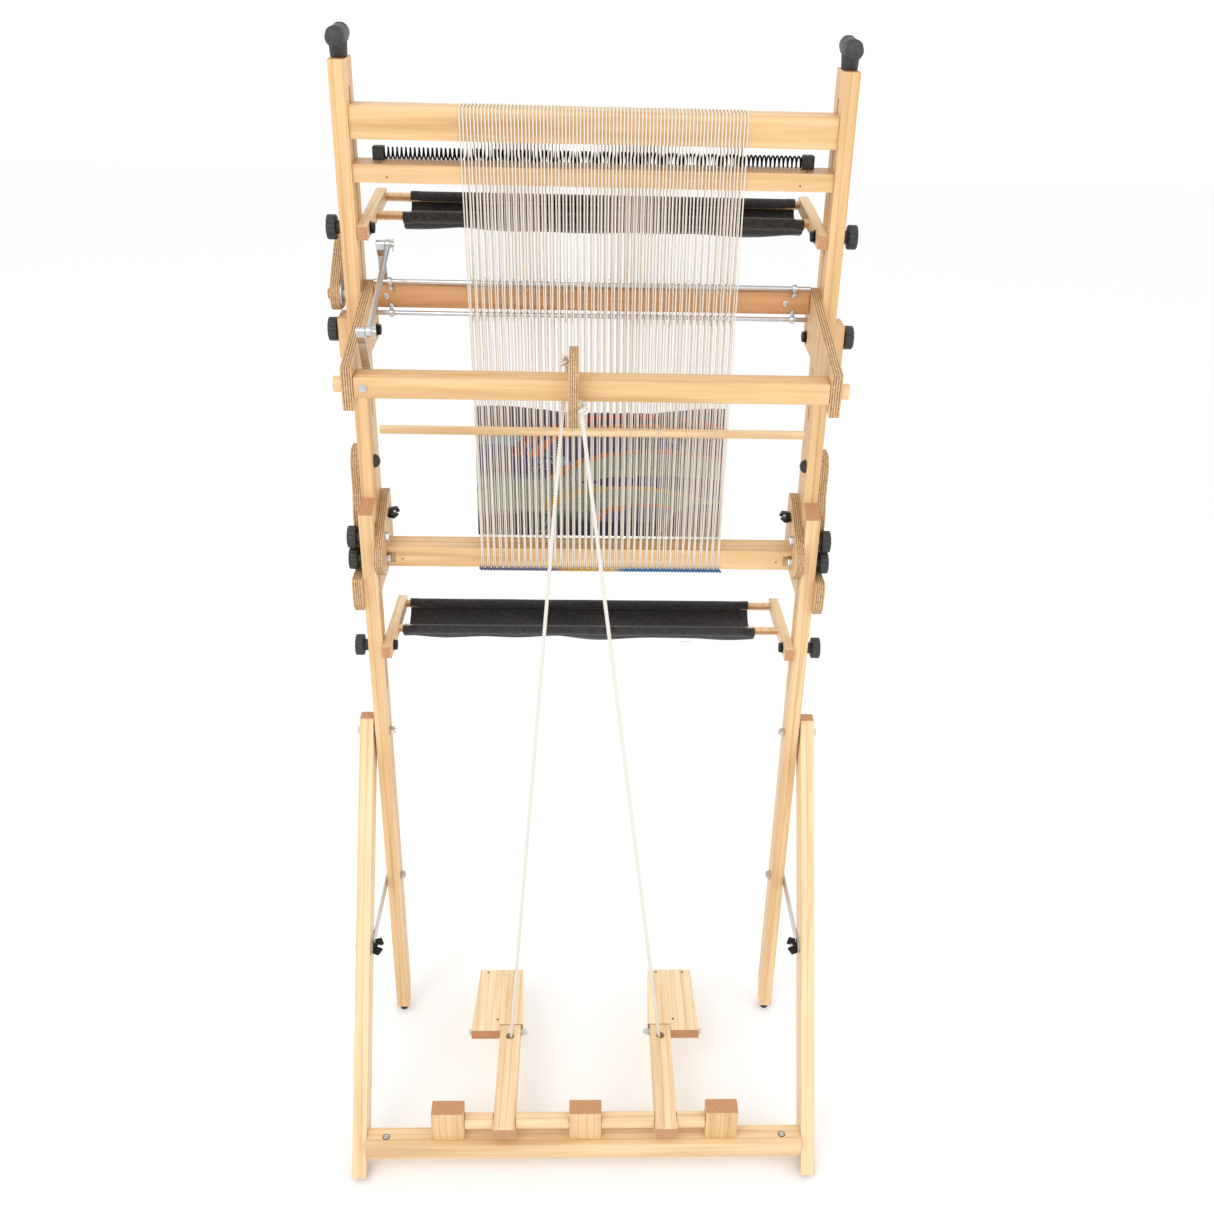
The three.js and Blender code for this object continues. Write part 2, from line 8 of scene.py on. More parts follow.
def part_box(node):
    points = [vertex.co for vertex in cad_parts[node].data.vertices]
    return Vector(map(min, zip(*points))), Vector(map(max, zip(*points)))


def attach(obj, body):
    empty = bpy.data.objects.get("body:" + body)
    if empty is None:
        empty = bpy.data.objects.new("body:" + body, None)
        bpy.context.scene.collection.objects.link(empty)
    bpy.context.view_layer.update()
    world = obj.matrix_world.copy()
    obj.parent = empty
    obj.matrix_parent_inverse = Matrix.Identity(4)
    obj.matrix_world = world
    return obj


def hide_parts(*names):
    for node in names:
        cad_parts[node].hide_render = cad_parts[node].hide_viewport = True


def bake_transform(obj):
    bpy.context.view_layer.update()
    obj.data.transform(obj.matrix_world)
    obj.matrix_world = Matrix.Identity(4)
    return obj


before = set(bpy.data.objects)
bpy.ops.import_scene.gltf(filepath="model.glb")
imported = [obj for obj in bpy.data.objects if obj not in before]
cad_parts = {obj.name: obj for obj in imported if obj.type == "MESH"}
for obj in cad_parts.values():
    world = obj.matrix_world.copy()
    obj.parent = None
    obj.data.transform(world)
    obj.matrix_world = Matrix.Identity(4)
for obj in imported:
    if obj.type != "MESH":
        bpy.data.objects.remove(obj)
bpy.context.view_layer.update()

scene = bpy.context.scene

# ---- Camera -------------------------------------------------------------------------------------
# The loom is seen from behind and a little above, near its middle, so that both treadles, the rocker
# and the underside of the weaving show at once.
pitch, yaw, roll = (math.radians(a) for a in (28.285, 2.609, 1.734))
ahead = Vector((math.sin(yaw) * math.cos(pitch), math.cos(yaw) * math.cos(pitch), -math.sin(pitch)))
level = Vector((math.cos(yaw), -math.sin(yaw), 0))
over = level.cross(ahead)
across = level * math.cos(roll) + over * math.sin(roll)
upward = over * math.cos(roll) - level * math.sin(roll)
lens = bpy.data.cameras.new("camera")
lens.sensor_width = 36
lens.lens = 38.55
lens.shift_x = -0.0223
lens.clip_start = 0.05
camera = bpy.data.objects.new("camera", lens)
camera.matrix_world = Matrix((across, upward, -ahead)).transposed().to_4x4()
camera.location = (-0.01163, -1.6074, 1.70099)
scene.collection.objects.link(camera)
scene.camera = camera

# ---- Treadle ropes ------------------------------------------------------------------------------
# Two white braided cotton ropes, 5 mm thick. Each is knotted under a treadle lever, runs up through
# the lever's hole, and is knotted to the rope disc on the rocker, the left one behind the rocker.


def shader(name, rough, metal=0.0):
    """a material with object coordinates at hand"""
    look = bpy.data.materials.new(name)
    look.use_nodes = True
    nodes, links = look.node_tree.nodes, look.node_tree.links
    surface = nodes["Principled BSDF"]
    surface.inputs["Roughness"].default_value = rough
    surface.inputs["Metallic"].default_value = metal
    where = nodes.new("ShaderNodeTexCoord").outputs["Object"]
    return look, nodes, links, surface, where


def stretched(nodes, links, where, scale, shift=(0, 0, 0), turn=(0, 0, 0)):
    """coordinates turned, moved and stretched"""
    first = nodes.new("ShaderNodeMapping")
    first.inputs["Rotation"].default_value = turn
    links.new(where, first.inputs["Vector"])
    second = nodes.new("ShaderNodeMapping")
    second.inputs["Scale"].default_value = scale
    second.inputs["Location"].default_value = shift
    links.new(first.outputs["Vector"], second.inputs["Vector"])
    return second.outputs["Vector"]


def noise(nodes, links, where, scale, detail=3.0, warp=0.0):
    grain = nodes.new("ShaderNodeTexNoise")
    grain.inputs["Scale"].default_value = scale
    grain.inputs["Detail"].default_value = detail
    grain.inputs["Distortion"].default_value = warp
    links.new(where, grain.inputs["Vector"])
    return grain.outputs["Fac"]


def ramp(nodes, links, value, *stops):
    """colours by value: each stop is a place from 0 to 1 and a colour"""
    scale = nodes.new("ShaderNodeValToRGB")
    while len(scale.color_ramp.elements) < len(stops):
        scale.color_ramp.elements.new(0.5)
    for mark, (place, color) in zip(scale.color_ramp.elements, stops):
        mark.position = place
        mark.color = (*color, 1)
    links.new(value, scale.inputs["Fac"])
    return scale.outputs["Color"]


def blended(nodes, links, factor, first, second):
    """first colour where the factor is 0, second where it is 1"""
    mix = nodes.new("ShaderNodeMix")
    mix.data_type = "RGBA"
    for place, value in (("Factor", factor), ("A", first), ("B", second)):
        socket = mix.inputs[place]
        if isinstance(value, bpy.types.NodeSocket):
            links.new(value, socket)
        else:
            socket.default_value = value if isinstance(value, float) else (*value, 1)
    return mix.outputs["Result"]


def raised(nodes, links, surface, height, depth, strength=0.5):
    bump = nodes.new("ShaderNodeBump")
    bump.inputs["Distance"].default_value = depth
    bump.inputs["Strength"].default_value = strength
    links.new(height, bump.inputs["Height"])
    links.new(bump.outputs["Normal"], surface.inputs["Normal"])


def cotton(name, pale, deep, pitch_mm, turn=0.6):
    """twisted or braided cotton: fine slanting strands"""
    look, nodes, links, surface, where = shader(name, 0.92)
    strand = nodes.new("ShaderNodeTexWave")
    strand.inputs["Scale"].default_value = 314 / pitch_mm
    strand.inputs["Distortion"].default_value = 1.5
    strand.inputs["Detail"].default_value = 2
    strand.bands_direction = "Z"
    links.new(stretched(nodes, links, where, (1, 1, 1), turn=(0, turn, turn)), strand.inputs["Vector"])
    color = ramp(nodes, links, strand.outputs["Fac"], (0.1, deep), (0.6, pale))
    links.new(color, surface.inputs["Base Color"])
    raised(nodes, links, surface, strand.outputs["Fac"], 0.0006, 0.7)
    return look


def run_of_cord(name, runs, radius, look, body, closed=False, sides=2):
    """a round cord along each run of points, as one curve"""
    line = bpy.data.curves.new(name, "CURVE")
    line.dimensions = "3D"
    line.bevel_depth = radius
    line.bevel_resolution = sides
    line.use_fill_caps = not closed
    for run in runs:
        spline = line.splines.new("POLY")
        spline.points.add(len(run) - 1)
        spline.use_cyclic_u = closed
        spline.use_smooth = True
        for point, place in zip(spline.points, run):
            point.co = (*place, 1)
    line.materials.append(look)
    piece = bpy.data.objects.new(name, line)
    scene.collection.objects.link(piece)
    if body:
        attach(piece, body)
    return piece


def knot(centre, size, turns=(2, 3), steps=48):
    """the run of an overhand knot, pulled tight"""
    run = []
    for i in range(steps):
        t = 2 * math.pi * i / steps
        swell = 1 + 0.42 * math.cos(turns[1] * t)
        place = (swell * math.cos(turns[0] * t), swell * math.sin(turns[0] * t), 0.55 * math.sin(turns[1] * t))
        run.append(Vector(centre) + Vector(place) * size)
    return run


rope_white = cotton("rope_cotton", (0.86, 0.83, 0.78), (0.62, 0.57, 0.5), 3.2)
rope_r, knot_r, fibre_r = 0.0025, 0.0022, 0.0005
knot_size = 0.0042
disc_x = -0.024
rocker_low, rocker_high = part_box("rocker_beam")
rocker_y = (rocker_low[1] + rocker_high[1]) / 2
rocker_z = (rocker_low[2] + rocker_high[2]) / 2
for side, hand in ((-1, "left"), (1, "right")):
    lever_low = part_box(f"treadle_lever_{hand}")[0]
    foot = Vector((side * 0.121, -0.0903, lever_low[2] - 0.0012))
    top = Vector((disc_x + side * 0.0096, rocker_y - side * 0.042, rocker_z - side * 0.016))
    route = [foot.lerp(top, i / 23) for i in range(24)]
    body = f"rope_{hand}"
    rope = run_of_cord(f"rope_{hand}_run", [route], rope_r, rope_white, body)
    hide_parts(f"treadle_rope_{hand}")
    ends = run_of_cord(f"rope_{hand}_knots", [
        knot(top + Vector((side * 0.002, 0, 0.002)), knot_size), knot(foot - Vector((0, 0, 0.007)), knot_size)],
        knot_r, rope_white, body, closed=True, sides=1)
    random.seed(11 + side)
    fray = []
    for end, rise, count in ((top, 0.014, 26), (foot - Vector((0, 0, 0.011)), -0.007, 14)):
        for _ in range(count):
            way = Vector((random.uniform(-1, 1) * 0.6 + 0.4 * side, random.uniform(-1, 1), 0))
            fray.append([end, end + way * 0.004 + Vector((0, 0, rise * 0.5)),
                         end + way * 0.008 + Vector((0, 0, rise * random.uniform(0.5, 1)))])
    tuft = run_of_cord(f"rope_{hand}_frayed_ends", fray, fibre_r, rope_white, body,
                       sides=0)

# ---- Maple frame --------------------------------------------------------------------------------
# Planed hard maple with an oiled finish: pale yellow-brown, long fine grain, darker where the end
# grain shows. Posts and legs stand on black plastic studs pressed into their ends.


def multiplied(nodes, links, first, second, factor):
    mix = nodes.new("ShaderNodeMix")
    mix.data_type = "RGBA"
    mix.blend_type = "MULTIPLY"
    mix.inputs["Factor"].default_value = factor
    links.new(first, mix.inputs["A"])
    links.new(second, mix.inputs["B"])
    return mix.outputs["Result"]


def wood(name, along, tone=0.5, lean=0.0, seed=0, foot=None, stain=(1.0, 1.0, 1.0)):
    """long grain along one axis, with browner end grain, and a black foot below a height"""
    look, nodes, links, surface, where = shader(name, 0.46)
    long_way = [1.0, 1.0, 1.0]
    long_way[along] = 0.045
    spot = (seed * 0.37 % 3, seed * 0.53 % 3, seed * 0.71 % 3)
    grain_at = stretched(nodes, links, where, long_way, spot, (lean, 0, 0))
    pale = (0.75 + 0.12 * tone, 0.47 + 0.19 * tone, 0.205 + 0.20 * tone)
    deep = (0.57 + 0.14 * tone, 0.325 + 0.15 * tone, 0.12 + 0.12 * tone)
    pale, deep = ([c * k for c, k in zip(shade, stain)] for shade in (pale, deep))
    streak = ramp(nodes, links, noise(nodes, links, grain_at, 70, 6, 0.9), (0.28, deep), (0.62, pale))
    ring = nodes.new("ShaderNodeTexWave")
    ring.inputs["Scale"].default_value = 26
    ring.inputs["Distortion"].default_value = 9
    ring.inputs["Detail"].default_value = 3
    ring.inputs["Detail Scale"].default_value = 0.7
    ring.bands_direction = "Y" if along == 0 else "X"
    links.new(grain_at, ring.inputs["Vector"])
    lines = ramp(nodes, links, ring.outputs["Fac"], (0.0, (1, 1, 1)), (0.82, (1, 1, 1)),
                 (1.0, (0.83, 0.76, 0.68)))
    color = multiplied(nodes, links, streak, lines, 0.8)
    # browner where the face cuts across the grain
    facing = nodes.new("ShaderNodeNewGeometry")
    parts = nodes.new("ShaderNodeSeparateXYZ")
    links.new(facing.outputs["True Normal"], parts.inputs["Vector"])
    side_on = nodes.new("ShaderNodeMath")
    side_on.operation = "ABSOLUTE"
    links.new(parts.outputs[along], side_on.inputs[0])
    end = ramp(nodes, links, side_on.outputs["Value"], (0.85, (0, 0, 0)), (0.95, (1, 1, 1)))
    pores = noise(nodes, links, where, 600, 2)
    ends = ramp(nodes, links, pores, (0.3, (0.42, 0.19, 0.08)), (0.7, (0.6, 0.32, 0.15)))
    color = blended(nodes, links, end, color, ends)
    if foot is not None:
        height = nodes.new("ShaderNodeSeparateXYZ")
        links.new(where, height.inputs["Vector"])
        low = nodes.new("ShaderNodeMath")
        low.operation = "LESS_THAN"
        low.inputs[1].default_value = foot
        links.new(height.outputs["Z"], low.inputs[0])
        color = blended(nodes, links, low.outputs["Value"], color, (0.012, 0.012, 0.013))
    links.new(color, surface.inputs["Base Color"])
    surface.inputs["Coat Weight"].default_value = 0.12
    surface.inputs["Coat Roughness"].default_value = 0.35
    raised(nodes, links, surface, noise(nodes, links, grain_at, 900, 3), 0.0003, 0.35)
    return look


def finish(node, look):
    """a new finish on a node that keeps its shape"""
    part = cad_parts[node]
    if part.material_slots:
        part.material_slots[0].material = look
    else:
        part.data.materials.append(look)


stud_top = 0.0119
leg_lean = math.atan2(343, 566)
# Each part's tone is partly its own maple colour and partly painted light: posts and beams darker where less light
# falls, rear legs, levers and footboards lighter where it falls on them.
for seed, hand in enumerate(("left", "right")):
    finish(f"stand_post_{hand}", wood(f"maple_stand_post_{hand}", 2, 0.5, seed=seed, foot=stud_top))
    finish(f"loom_post_{hand}", wood(f"maple_loom_post_{hand}", 2, 0.2, seed=seed + 3))
    finish(f"rear_leg_{hand}",
           wood(f"maple_rear_leg_{hand}", 2, 0.9, lean=leg_lean, seed=seed + 5, foot=stud_top))
    finish(f"treadle_lever_{hand}", wood(f"maple_lever_{hand}", 1, 1.0, seed=seed + 7))
    finish(f"footboard_{hand}", wood(f"maple_footboard_{hand}", 1, 1.3, seed=seed + 9))
# the beams' low tones are partly painted shade, darker where less lit
beams = (("stretcher", 0.7), ("bottom_beam", 0.3), ("top_beam", 0.3), ("spring_beam", 0.35),
         ("treadle_axle", 0.9), ("warping_dowel", 0.9))
for seed, (node, tone) in enumerate(beams):
    finish(node, wood(f"maple_{node}", 0, tone, seed=seed + 11))
for seed, place in enumerate(("left", "centre", "right")):
    finish(f"treadle_block_{place}", wood(f"maple_block_{place}", 2, 0.4, seed=seed + 21))
tray_arm_look = wood("maple_tray_arm", 1, 0.8, seed=31)
for level_name in ("upper", "lower"):
    finish(f"{level_name}_tray_frame", tray_arm_look)

# ---- Plywood plates -----------------------------------------------------------------------------
# Birch plywood, 13 mm, cut to shape and eased: the broad faces are pale veneer and the edges show
# the glued plies as fine light and dark lines. The shed plates carry a solid guide block outside.


def plywood(name, seed, faces, steel_from=None, solid_from=None):
    """plies stacked along X between two faces, and steel or solid wood past a distance from the middle"""
    look, nodes, links, surface, where = shader(name, 0.5)
    apart = nodes.new("ShaderNodeSeparateXYZ")
    links.new(where, apart.inputs["Vector"])
    off = nodes.new("ShaderNodeMath")
    off.operation = "ABSOLUTE"
    links.new(apart.outputs["X"], off.inputs[0])
    inner, outer = faces
    depth = nodes.new("ShaderNodeMapRange")
    depth.inputs["From Min"].default_value = inner
    depth.inputs["From Max"].default_value = outer
    depth.inputs["To Max"].default_value = 4.5
    depth.clamp = False
    links.new(off.outputs["Value"], depth.inputs["Value"])
    ply = nodes.new("ShaderNodeMath")
    ply.operation = "FRACT"
    links.new(depth.outputs["Result"], ply.inputs[0])
    spot = (seed * 0.41, seed * 0.23, seed * 0.67)
    veneer_at = stretched(nodes, links, where, (1, 1, 0.05), spot)
    veneer = ramp(nodes, links, noise(nodes, links, veneer_at, 60, 6, 0.8),
                  (0.3, (0.56, 0.33, 0.15)), (0.65, (0.78, 0.53, 0.28)))
    speck = noise(nodes, links, where, 300, 4)
    dark = ramp(nodes, links, speck, (0.3, (0.16, 0.075, 0.03)), (0.7, (0.42, 0.24, 0.11)))
    pale = ramp(nodes, links, speck, (0.3, (0.52, 0.32, 0.15)), (0.7, (0.74, 0.5, 0.27)))
    stripe = ramp(nodes, links, ply.outputs["Value"], (0.0, (0, 0, 0)), (0.4, (0, 0, 0)), (0.5, (1, 1, 1)),
                  (0.94, (1, 1, 1)), (1.0, (0, 0, 0)))
    edge = blended(nodes, links, stripe, pale, dark)
    facing = nodes.new("ShaderNodeNewGeometry")
    parts = nodes.new("ShaderNodeSeparateXYZ")
    links.new(facing.outputs["True Normal"], parts.inputs["Vector"])
    broad = nodes.new("ShaderNodeMath")
    broad.operation = "ABSOLUTE"
    links.new(parts.outputs["X"], broad.inputs[0])
    flat = ramp(nodes, links, broad.outputs["Value"], (0.6, (0, 0, 0)), (0.8, (1, 1, 1)))
    color = blended(nodes, links, flat, edge, veneer)
    for start, past, shine in ((solid_from, veneer, False), (steel_from, (0.6, 0.6, 0.6), True)):
        if start is None:
            continue
        beyond = nodes.new("ShaderNodeMath")
        beyond.operation = "GREATER_THAN" if start > 0 else "LESS_THAN"
        beyond.inputs[1].default_value = abs(start)
        links.new(off.outputs["Value"], beyond.inputs[0])
        color = blended(nodes, links, beyond.outputs["Value"], color, past)
        if shine:
            links.new(beyond.outputs["Value"], surface.inputs["Metallic"])
    links.new(color, surface.inputs["Base Color"])
    raised(nodes, links, surface, noise(nodes, links, veneer_at, 800, 3), 0.0003, 0.35)
    return look


ply_outer, block_inner = 0.3047, 0.3048     # the shed plates' plywood ends where their guide blocks begin
for seed, hand in enumerate(("left", "right")):
    for node, solid in (("splice_plate", None), ("bracket_plate", None), ("shed_plate", block_inner)):
        low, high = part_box(f"{node}_{hand}")
        reach = sorted((abs(low[0]), abs(high[0])))
        if solid:
            reach[1] = ply_outer
        look = plywood(f"birch_{node}_{hand}", seed + 2 * len(node), reach, solid_from=solid)
        finish(f"{node}_{hand}", look)

# ---- Bolts, nuts and brace straps ---------------------------------------------------------------
# Zinc-plated carriage bolts and hexagon nuts, and brace straps of flat steel that hook over the wing
# nuts' bolts. All are bright and faintly brushed.


def metal(name, color, rough, brushed=0.0):
    look, nodes, links, surface, where = shader(name, rough, 1.0)
    tint = noise(nodes, links, where, 90, 3)
    dull = tuple(c * 0.82 for c in color)
    links.new(ramp(nodes, links, tint, (0.3, dull), (0.7, color)), surface.inputs["Base Color"])
    if brushed:
        strokes = noise(nodes, links, stretched(nodes, links, where, (0.02, 1, 1)), 1800, 2)
        raised(nodes, links, surface, strokes, 0.0001, brushed)
    return look


zinc = metal("zinc_plate", (0.72, 0.72, 0.71), 0.28)
drawn_steel = metal("drawn_steel", (0.66, 0.66, 0.67), 0.32, 0.3)
# black steel for bolts, wing nut ears, screws and nails, and also painted shade: the black ring in each barrel
# nut's hole
black_steel_and_hole_shade = metal("blackened_steel_and_hole_shade", (0.035, 0.035, 0.036), 0.42)
for hand in ("left", "right"):
    finish(f"hinge_bolt_{hand}", zinc)
    finish(f"brace_strap_{hand}", drawn_steel)

# ---- Hand knobs ---------------------------------------------------------------------------------
# Moulded black nylon knobs with a fluted rim and a slimmer hub, on steel bolts. One pair clamps each
# tray, two pairs clamp the loom to its stand and one pair sets the height of the shedding frame.


def black_nylon(name, tint=0.028):
    look, nodes, links, surface, where = shader(name, 0.5)
    speck = noise(nodes, links, where, 500, 3)
    links.new(ramp(nodes, links, speck, (0.3, (tint * 0.7,) * 3), (0.7, (tint * 1.3,) * 3)),
              surface.inputs["Base Color"])
    raised(nodes, links, surface, speck, 0.0002, 0.5)
    return look


def keep(name, bm, look, body, stands_for=(), crease=35):
    """the finished mesh as a piece on its body"""
    bmesh.ops.recalc_face_normals(bm, faces=bm.faces)
    for face in bm.faces:
        face.smooth = True
    for edge in bm.edges:
        edge.smooth = len(edge.link_faces) == 2 and edge.calc_face_angle(0) < math.radians(crease)
    mesh = bpy.data.meshes.new(name)
    bm.to_mesh(mesh)
    bm.free()
    mesh.materials.append(look)
    piece = bpy.data.objects.new(name, mesh)
    scene.collection.objects.link(piece)
    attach(piece, body)
    if stands_for:
        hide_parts(*stands_for)
    return piece


quarter = {"x": Matrix.Rotation(math.pi / 2, 4, "Y"), "y": Matrix.Rotation(-math.pi / 2, 4, "X"),
           "z": Matrix()}


def eased(bm, edges, offset, segments=2):
    bmesh.ops.bevel(bm, geom=list(edges), offset=offset, segments=segments, profile=0.5, affect="EDGES",
                    material=-1)


def turned(bm, axis, centre, radius, length, sides=32, ease=0.0, top=None):
    """a turned cylinder or cone about one axis, its rims eased"""
    made = bmesh.ops.create_cone(bm, cap_ends=True, segments=sides, radius1=radius,
                                 radius2=radius if top is None else top, depth=length,
                                 matrix=Matrix.Translation(centre) @ quarter[axis])["verts"]
    if ease:
        rims = {e for v in made for e in v.link_edges if any(len(f.verts) > 4 for f in e.link_faces)}
        eased(bm, rims, ease)
    return made


def sawn(bm, low, high, ease=0.001):
    """a sawn block between two corners, its edges eased"""
    size = [b - a for a, b in zip(low, high)]
    middle = [(a + b) / 2 for a, b in zip(low, high)]
    place = Matrix.Translation(middle) @ Matrix.Diagonal((*size, 1))
    made = bmesh.ops.create_cube(bm, size=1, matrix=place)["verts"]
    if ease:
        eased(bm, {e for v in made for e in v.link_edges}, ease)
    return made


nylon = black_nylon("black_nylon")
rim_r, rim_thick, hub_r = 0.0158, 0.0125, 0.0086
post_seat, block_seat = 0.3253, 0.3386     # where a hub meets a post, or a guide block
for node, body in (("stand_knob_upper", "stand_knob_up"), ("stand_knob_lower", "stand_knob_low"),
                   ("upper_tray_knob", "upper_knob"), ("lower_tray_knob", "lower_knob"),
                   ("shed_knob", "shed_knob_body")):
    for hand, side in (("left", -1), ("right", 1)):
        low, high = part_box(f"{node}_{hand}")
        y, z = (low[1] + high[1]) / 2, (low[2] + high[2]) / 2
        outer = max(abs(low[0]), abs(high[0]))
        inner = min(abs(low[0]), abs(high[0]))
        seat = block_seat if node == "shed_knob" else post_seat
        bm = bmesh.new()
        rim = turned(bm, "x", (side * (outer - rim_thick / 2), y, z), rim_r, rim_thick, 72)
        for vert in rim:
            flute = 1 - 0.075 * max(0.0, math.cos(12 * math.atan2(vert.co.z - z, vert.co.y - y))) ** 2
            vert.co.y, vert.co.z = y + (vert.co.y - y) * flute, z + (vert.co.z - z) * flute
        caps = [f for f in bm.faces if len(f.verts) > 4]
        eased(bm, {e for f in caps for e in f.edges}, 0.0016, 3)
        dish = max((f for f in bm.faces if len(f.verts) > 4), key=lambda f: abs(f.calc_center_median().x))
        bmesh.ops.inset_region(bm, faces=[dish], thickness=0.003, depth=-0.0012)
        hub_end = outer - rim_thick
        turned(bm, "x", (side * (seat + hub_end) / 2, y, z), hub_r, hub_end - seat + 0.001, 32)
        keep(f"{node}_{hand}_grip", bm, nylon, f"{body}_{hand}", [f"{node}_{hand}"])
        bm = bmesh.new()
        turned(bm, "x", (side * (inner + seat) / 2, y, z), 0.0032, seat - inner, 20)
        turned(bm, "x", (side * (inner + 0.0028), y, z), 0.0074, 0.005, 6, 0.0004)
        turned(bm, "x", (side * (inner + 0.0058), y, z), 0.009, 0.001, 28)
        bolt_look = zinc if "stand" in node else black_steel_and_hole_shade
        keep(f"{node}_{hand}_bolt", bm, bolt_look, f"{body}_{hand}")

# ---- Wing nuts ----------------------------------------------------------------------------------
# Black steel wing nuts: a tapered hub with two ears that splay out and thicken at the tips, on
# coach bolts whose domed heads show on the outer side.
for node, body in (("brace_wing_nut", "brace_nut"), ("frame_wing_nut", "frame_nut")):
    for hand, side in (("left", -1), ("right", 1)):
        low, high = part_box(f"{node}_{hand}")
        y, z = (low[1] + high[1]) / 2, (low[2] + high[2]) / 2
        outer = max(abs(low[0]), abs(high[0]))
        inner = min(abs(low[0]), abs(high[0]))
        bm = bmesh.new()
        turned(bm, "x", (side * (inner + 0.0096), y, z), 0.0068, 0.006, 24, 0.0006,
               top=0.0055 if side < 0 else 0.0068)
        for way in (-1, 1):
            sawn(bm, (-0.0055, -0.0022, -0.0065), (0.0055, 0.0022, 0.0065), 0.0012)
            ear = [v for v in bm.verts if v.co.length < 0.02 and abs(v.co.x) < 0.02]
            for vert in ear:
                vert.co.y *= 1 + 60 * max(0.0, vert.co.z)
            shift = Matrix.Translation((side * (inner + 0.0055), y + way * 0.0095, z + 0.0005))
            tilt = Matrix.Rotation(-way * side * math.radians(24), 4, "Z")
            splay = Matrix.Rotation(-way * math.pi / 2, 4, "X")
            bmesh.ops.transform(bm, matrix=shift @ tilt @ splay, verts=ear)
        keep(f"{node}_{hand}_ears", bm, black_steel_and_hole_shade, f"{body}_{hand}",
             [f"{node}_{hand}"], 50)
        bm = bmesh.new()
        turned(bm, "x", (side * (inner + outer) / 2, y, z), 0.0032, outer - inner - 0.006, 20)
        head_x = side * (outer - 0.0042)
        head = bmesh.ops.create_uvsphere(bm, u_segments=24, v_segments=12, radius=0.0068,
                                         matrix=Matrix.Translation((head_x, y, z)))["verts"]
        for vert in head:
            proud = (vert.co.x - head_x) * side
            vert.co.x = head_x if proud < 0 else head_x + (vert.co.x - head_x) * 0.6
        keep(f"{node}_{hand}_bolt", bm, zinc, f"{body}_{hand}")

# ---- Tension handles ----------------------------------------------------------------------------
# Black plastic T handles on the posts' tops: a ribbed round stem and a blunt cross bar with rounded
# ends. Each turns a steel screw that runs down the post into the top beam's tenon.
handle_black = black_nylon("handle_plastic", 0.04)
for hand, side in (("left", -1), ("right", 1)):
    low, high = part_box(f"tension_handle_{hand}")
    x, y = (low[0] + high[0]) / 2, (low[1] + high[1]) / 2
    bar_z = high[2] - 0.012
    stem_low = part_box(f"loom_post_{hand}")[1][2] + 0.0003
    bm = bmesh.new()
    turned(bm, "z", (x, y, (stem_low + bar_z) / 2), 0.0105, bar_z - stem_low, 32, 0.0012, top=0.0118)
    bar = bmesh.ops.create_uvsphere(bm, u_segments=32, v_segments=20, radius=0.0118,
                                    matrix=Matrix.Translation((x, y, bar_z)))["verts"]
    for vert in bar:
        away = vert.co.y - y
        vert.co.y = y + math.copysign(min(0.03, abs(away) * 0.7 + (0.0215 if abs(away) > 1e-5 else 0)), away)
        vert.co.z += 0.0015 * math.copysign(1, away) * (abs(away) > 0.002)
    keep(f"tension_handle_{hand}_grip", bm, handle_black, f"handle_{hand}",
         [f"tension_handle_{hand}"], 60)
    bm = bmesh.new()
    turned(bm, "z", (x, y, (low[2] + stem_low + 0.004) / 2), 0.0027, stem_low + 0.004 - low[2], 16)
    keep(f"tension_handle_{hand}_screw", bm, drawn_steel, f"handle_{hand}")

# ---- Warp spring --------------------------------------------------------------------------------
# A long open coil of black spring wire that spaces the warp threads. It lies along the spring beam,
# held between two black end blocks with bright caps.
low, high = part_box("warp_spring")
coil_y, coil_z = (low[1] + high[1]) / 2, (low[2] + high[2]) / 2
coil_r, wire_r, coil_turns, coil_steps = 0.0067, 0.0013, 96, 14
coil_x0, coil_x1 = low[0] + 0.014, high[0] - 0.014
bm = bmesh.new()
start = Matrix.Translation((coil_x0, coil_y, coil_z + coil_r)) @ Matrix.Rotation(math.pi / 2, 4, "X")
bmesh.ops.create_circle(bm, segments=5, radius=wire_r, matrix=start)
ring_of_wire = bm.verts[:] + bm.edges[:]
count = coil_turns * coil_steps
bmesh.ops.spin(bm, geom=ring_of_wire, cent=(0, coil_y, coil_z), axis=(1, 0, 0), steps=count,
               angle=2 * math.pi * coil_turns, dvec=((coil_x1 - coil_x0) / count, 0, 0), use_duplicate=False)
spring_black = metal("spring_wire", (0.022, 0.018, 0.015), 0.45)
keep("warp_spring_coil", bm, spring_black, "loom_frame", ["warp_spring"], 80)
block_long = 0.0145
for hand, side, x in (("left", -1, low[0]), ("right", 1, high[0])):
    bm = bmesh.new()
    x_pair = sorted((x, x - side * block_long))
    sawn(bm, (x_pair[0], low[1], low[2]), (x_pair[1], high[1], high[2]), 0.001)
    keep(f"spring_end_{hand}", bm, nylon, "loom_frame")
    bm = bmesh.new()
    turned(bm, "x", (x - side * 0.0002, coil_y, coil_z), 0.0052, 0.0012, 24, 0.0003)
    keep(f"spring_cap_{hand}", bm, zinc, "loom_frame")

# ---- Cloth trays --------------------------------------------------------------------------------
# Two troughs of heavy black canvas for yarn. Each is one length of cloth with a sleeve sewn along
# both edges, slipped over the tray's two dowels; it sags between them and creases along its length.


def canvas(name):
    look, nodes, links, surface, where = shader(name, 0.95)
    weave = nodes.new("ShaderNodeTexWave")
    weave.inputs["Scale"].default_value = 330
    weave.inputs["Distortion"].default_value = 1
    weave.bands_direction = "X"
    links.new(where, weave.inputs["Vector"])
    fluff = noise(nodes, links, where, 180, 5)
    links.new(ramp(nodes, links, fluff, (0.3, (0.013, 0.012, 0.013)), (0.75, (0.045, 0.042, 0.044))),
              surface.inputs["Base Color"])
    surface.inputs["Sheen Weight"].default_value = 0.25
    surface.inputs["Sheen Roughness"].default_value = 0.5
    raised(nodes, links, surface, weave.outputs["Fac"], 0.0004, 0.5)
    return look


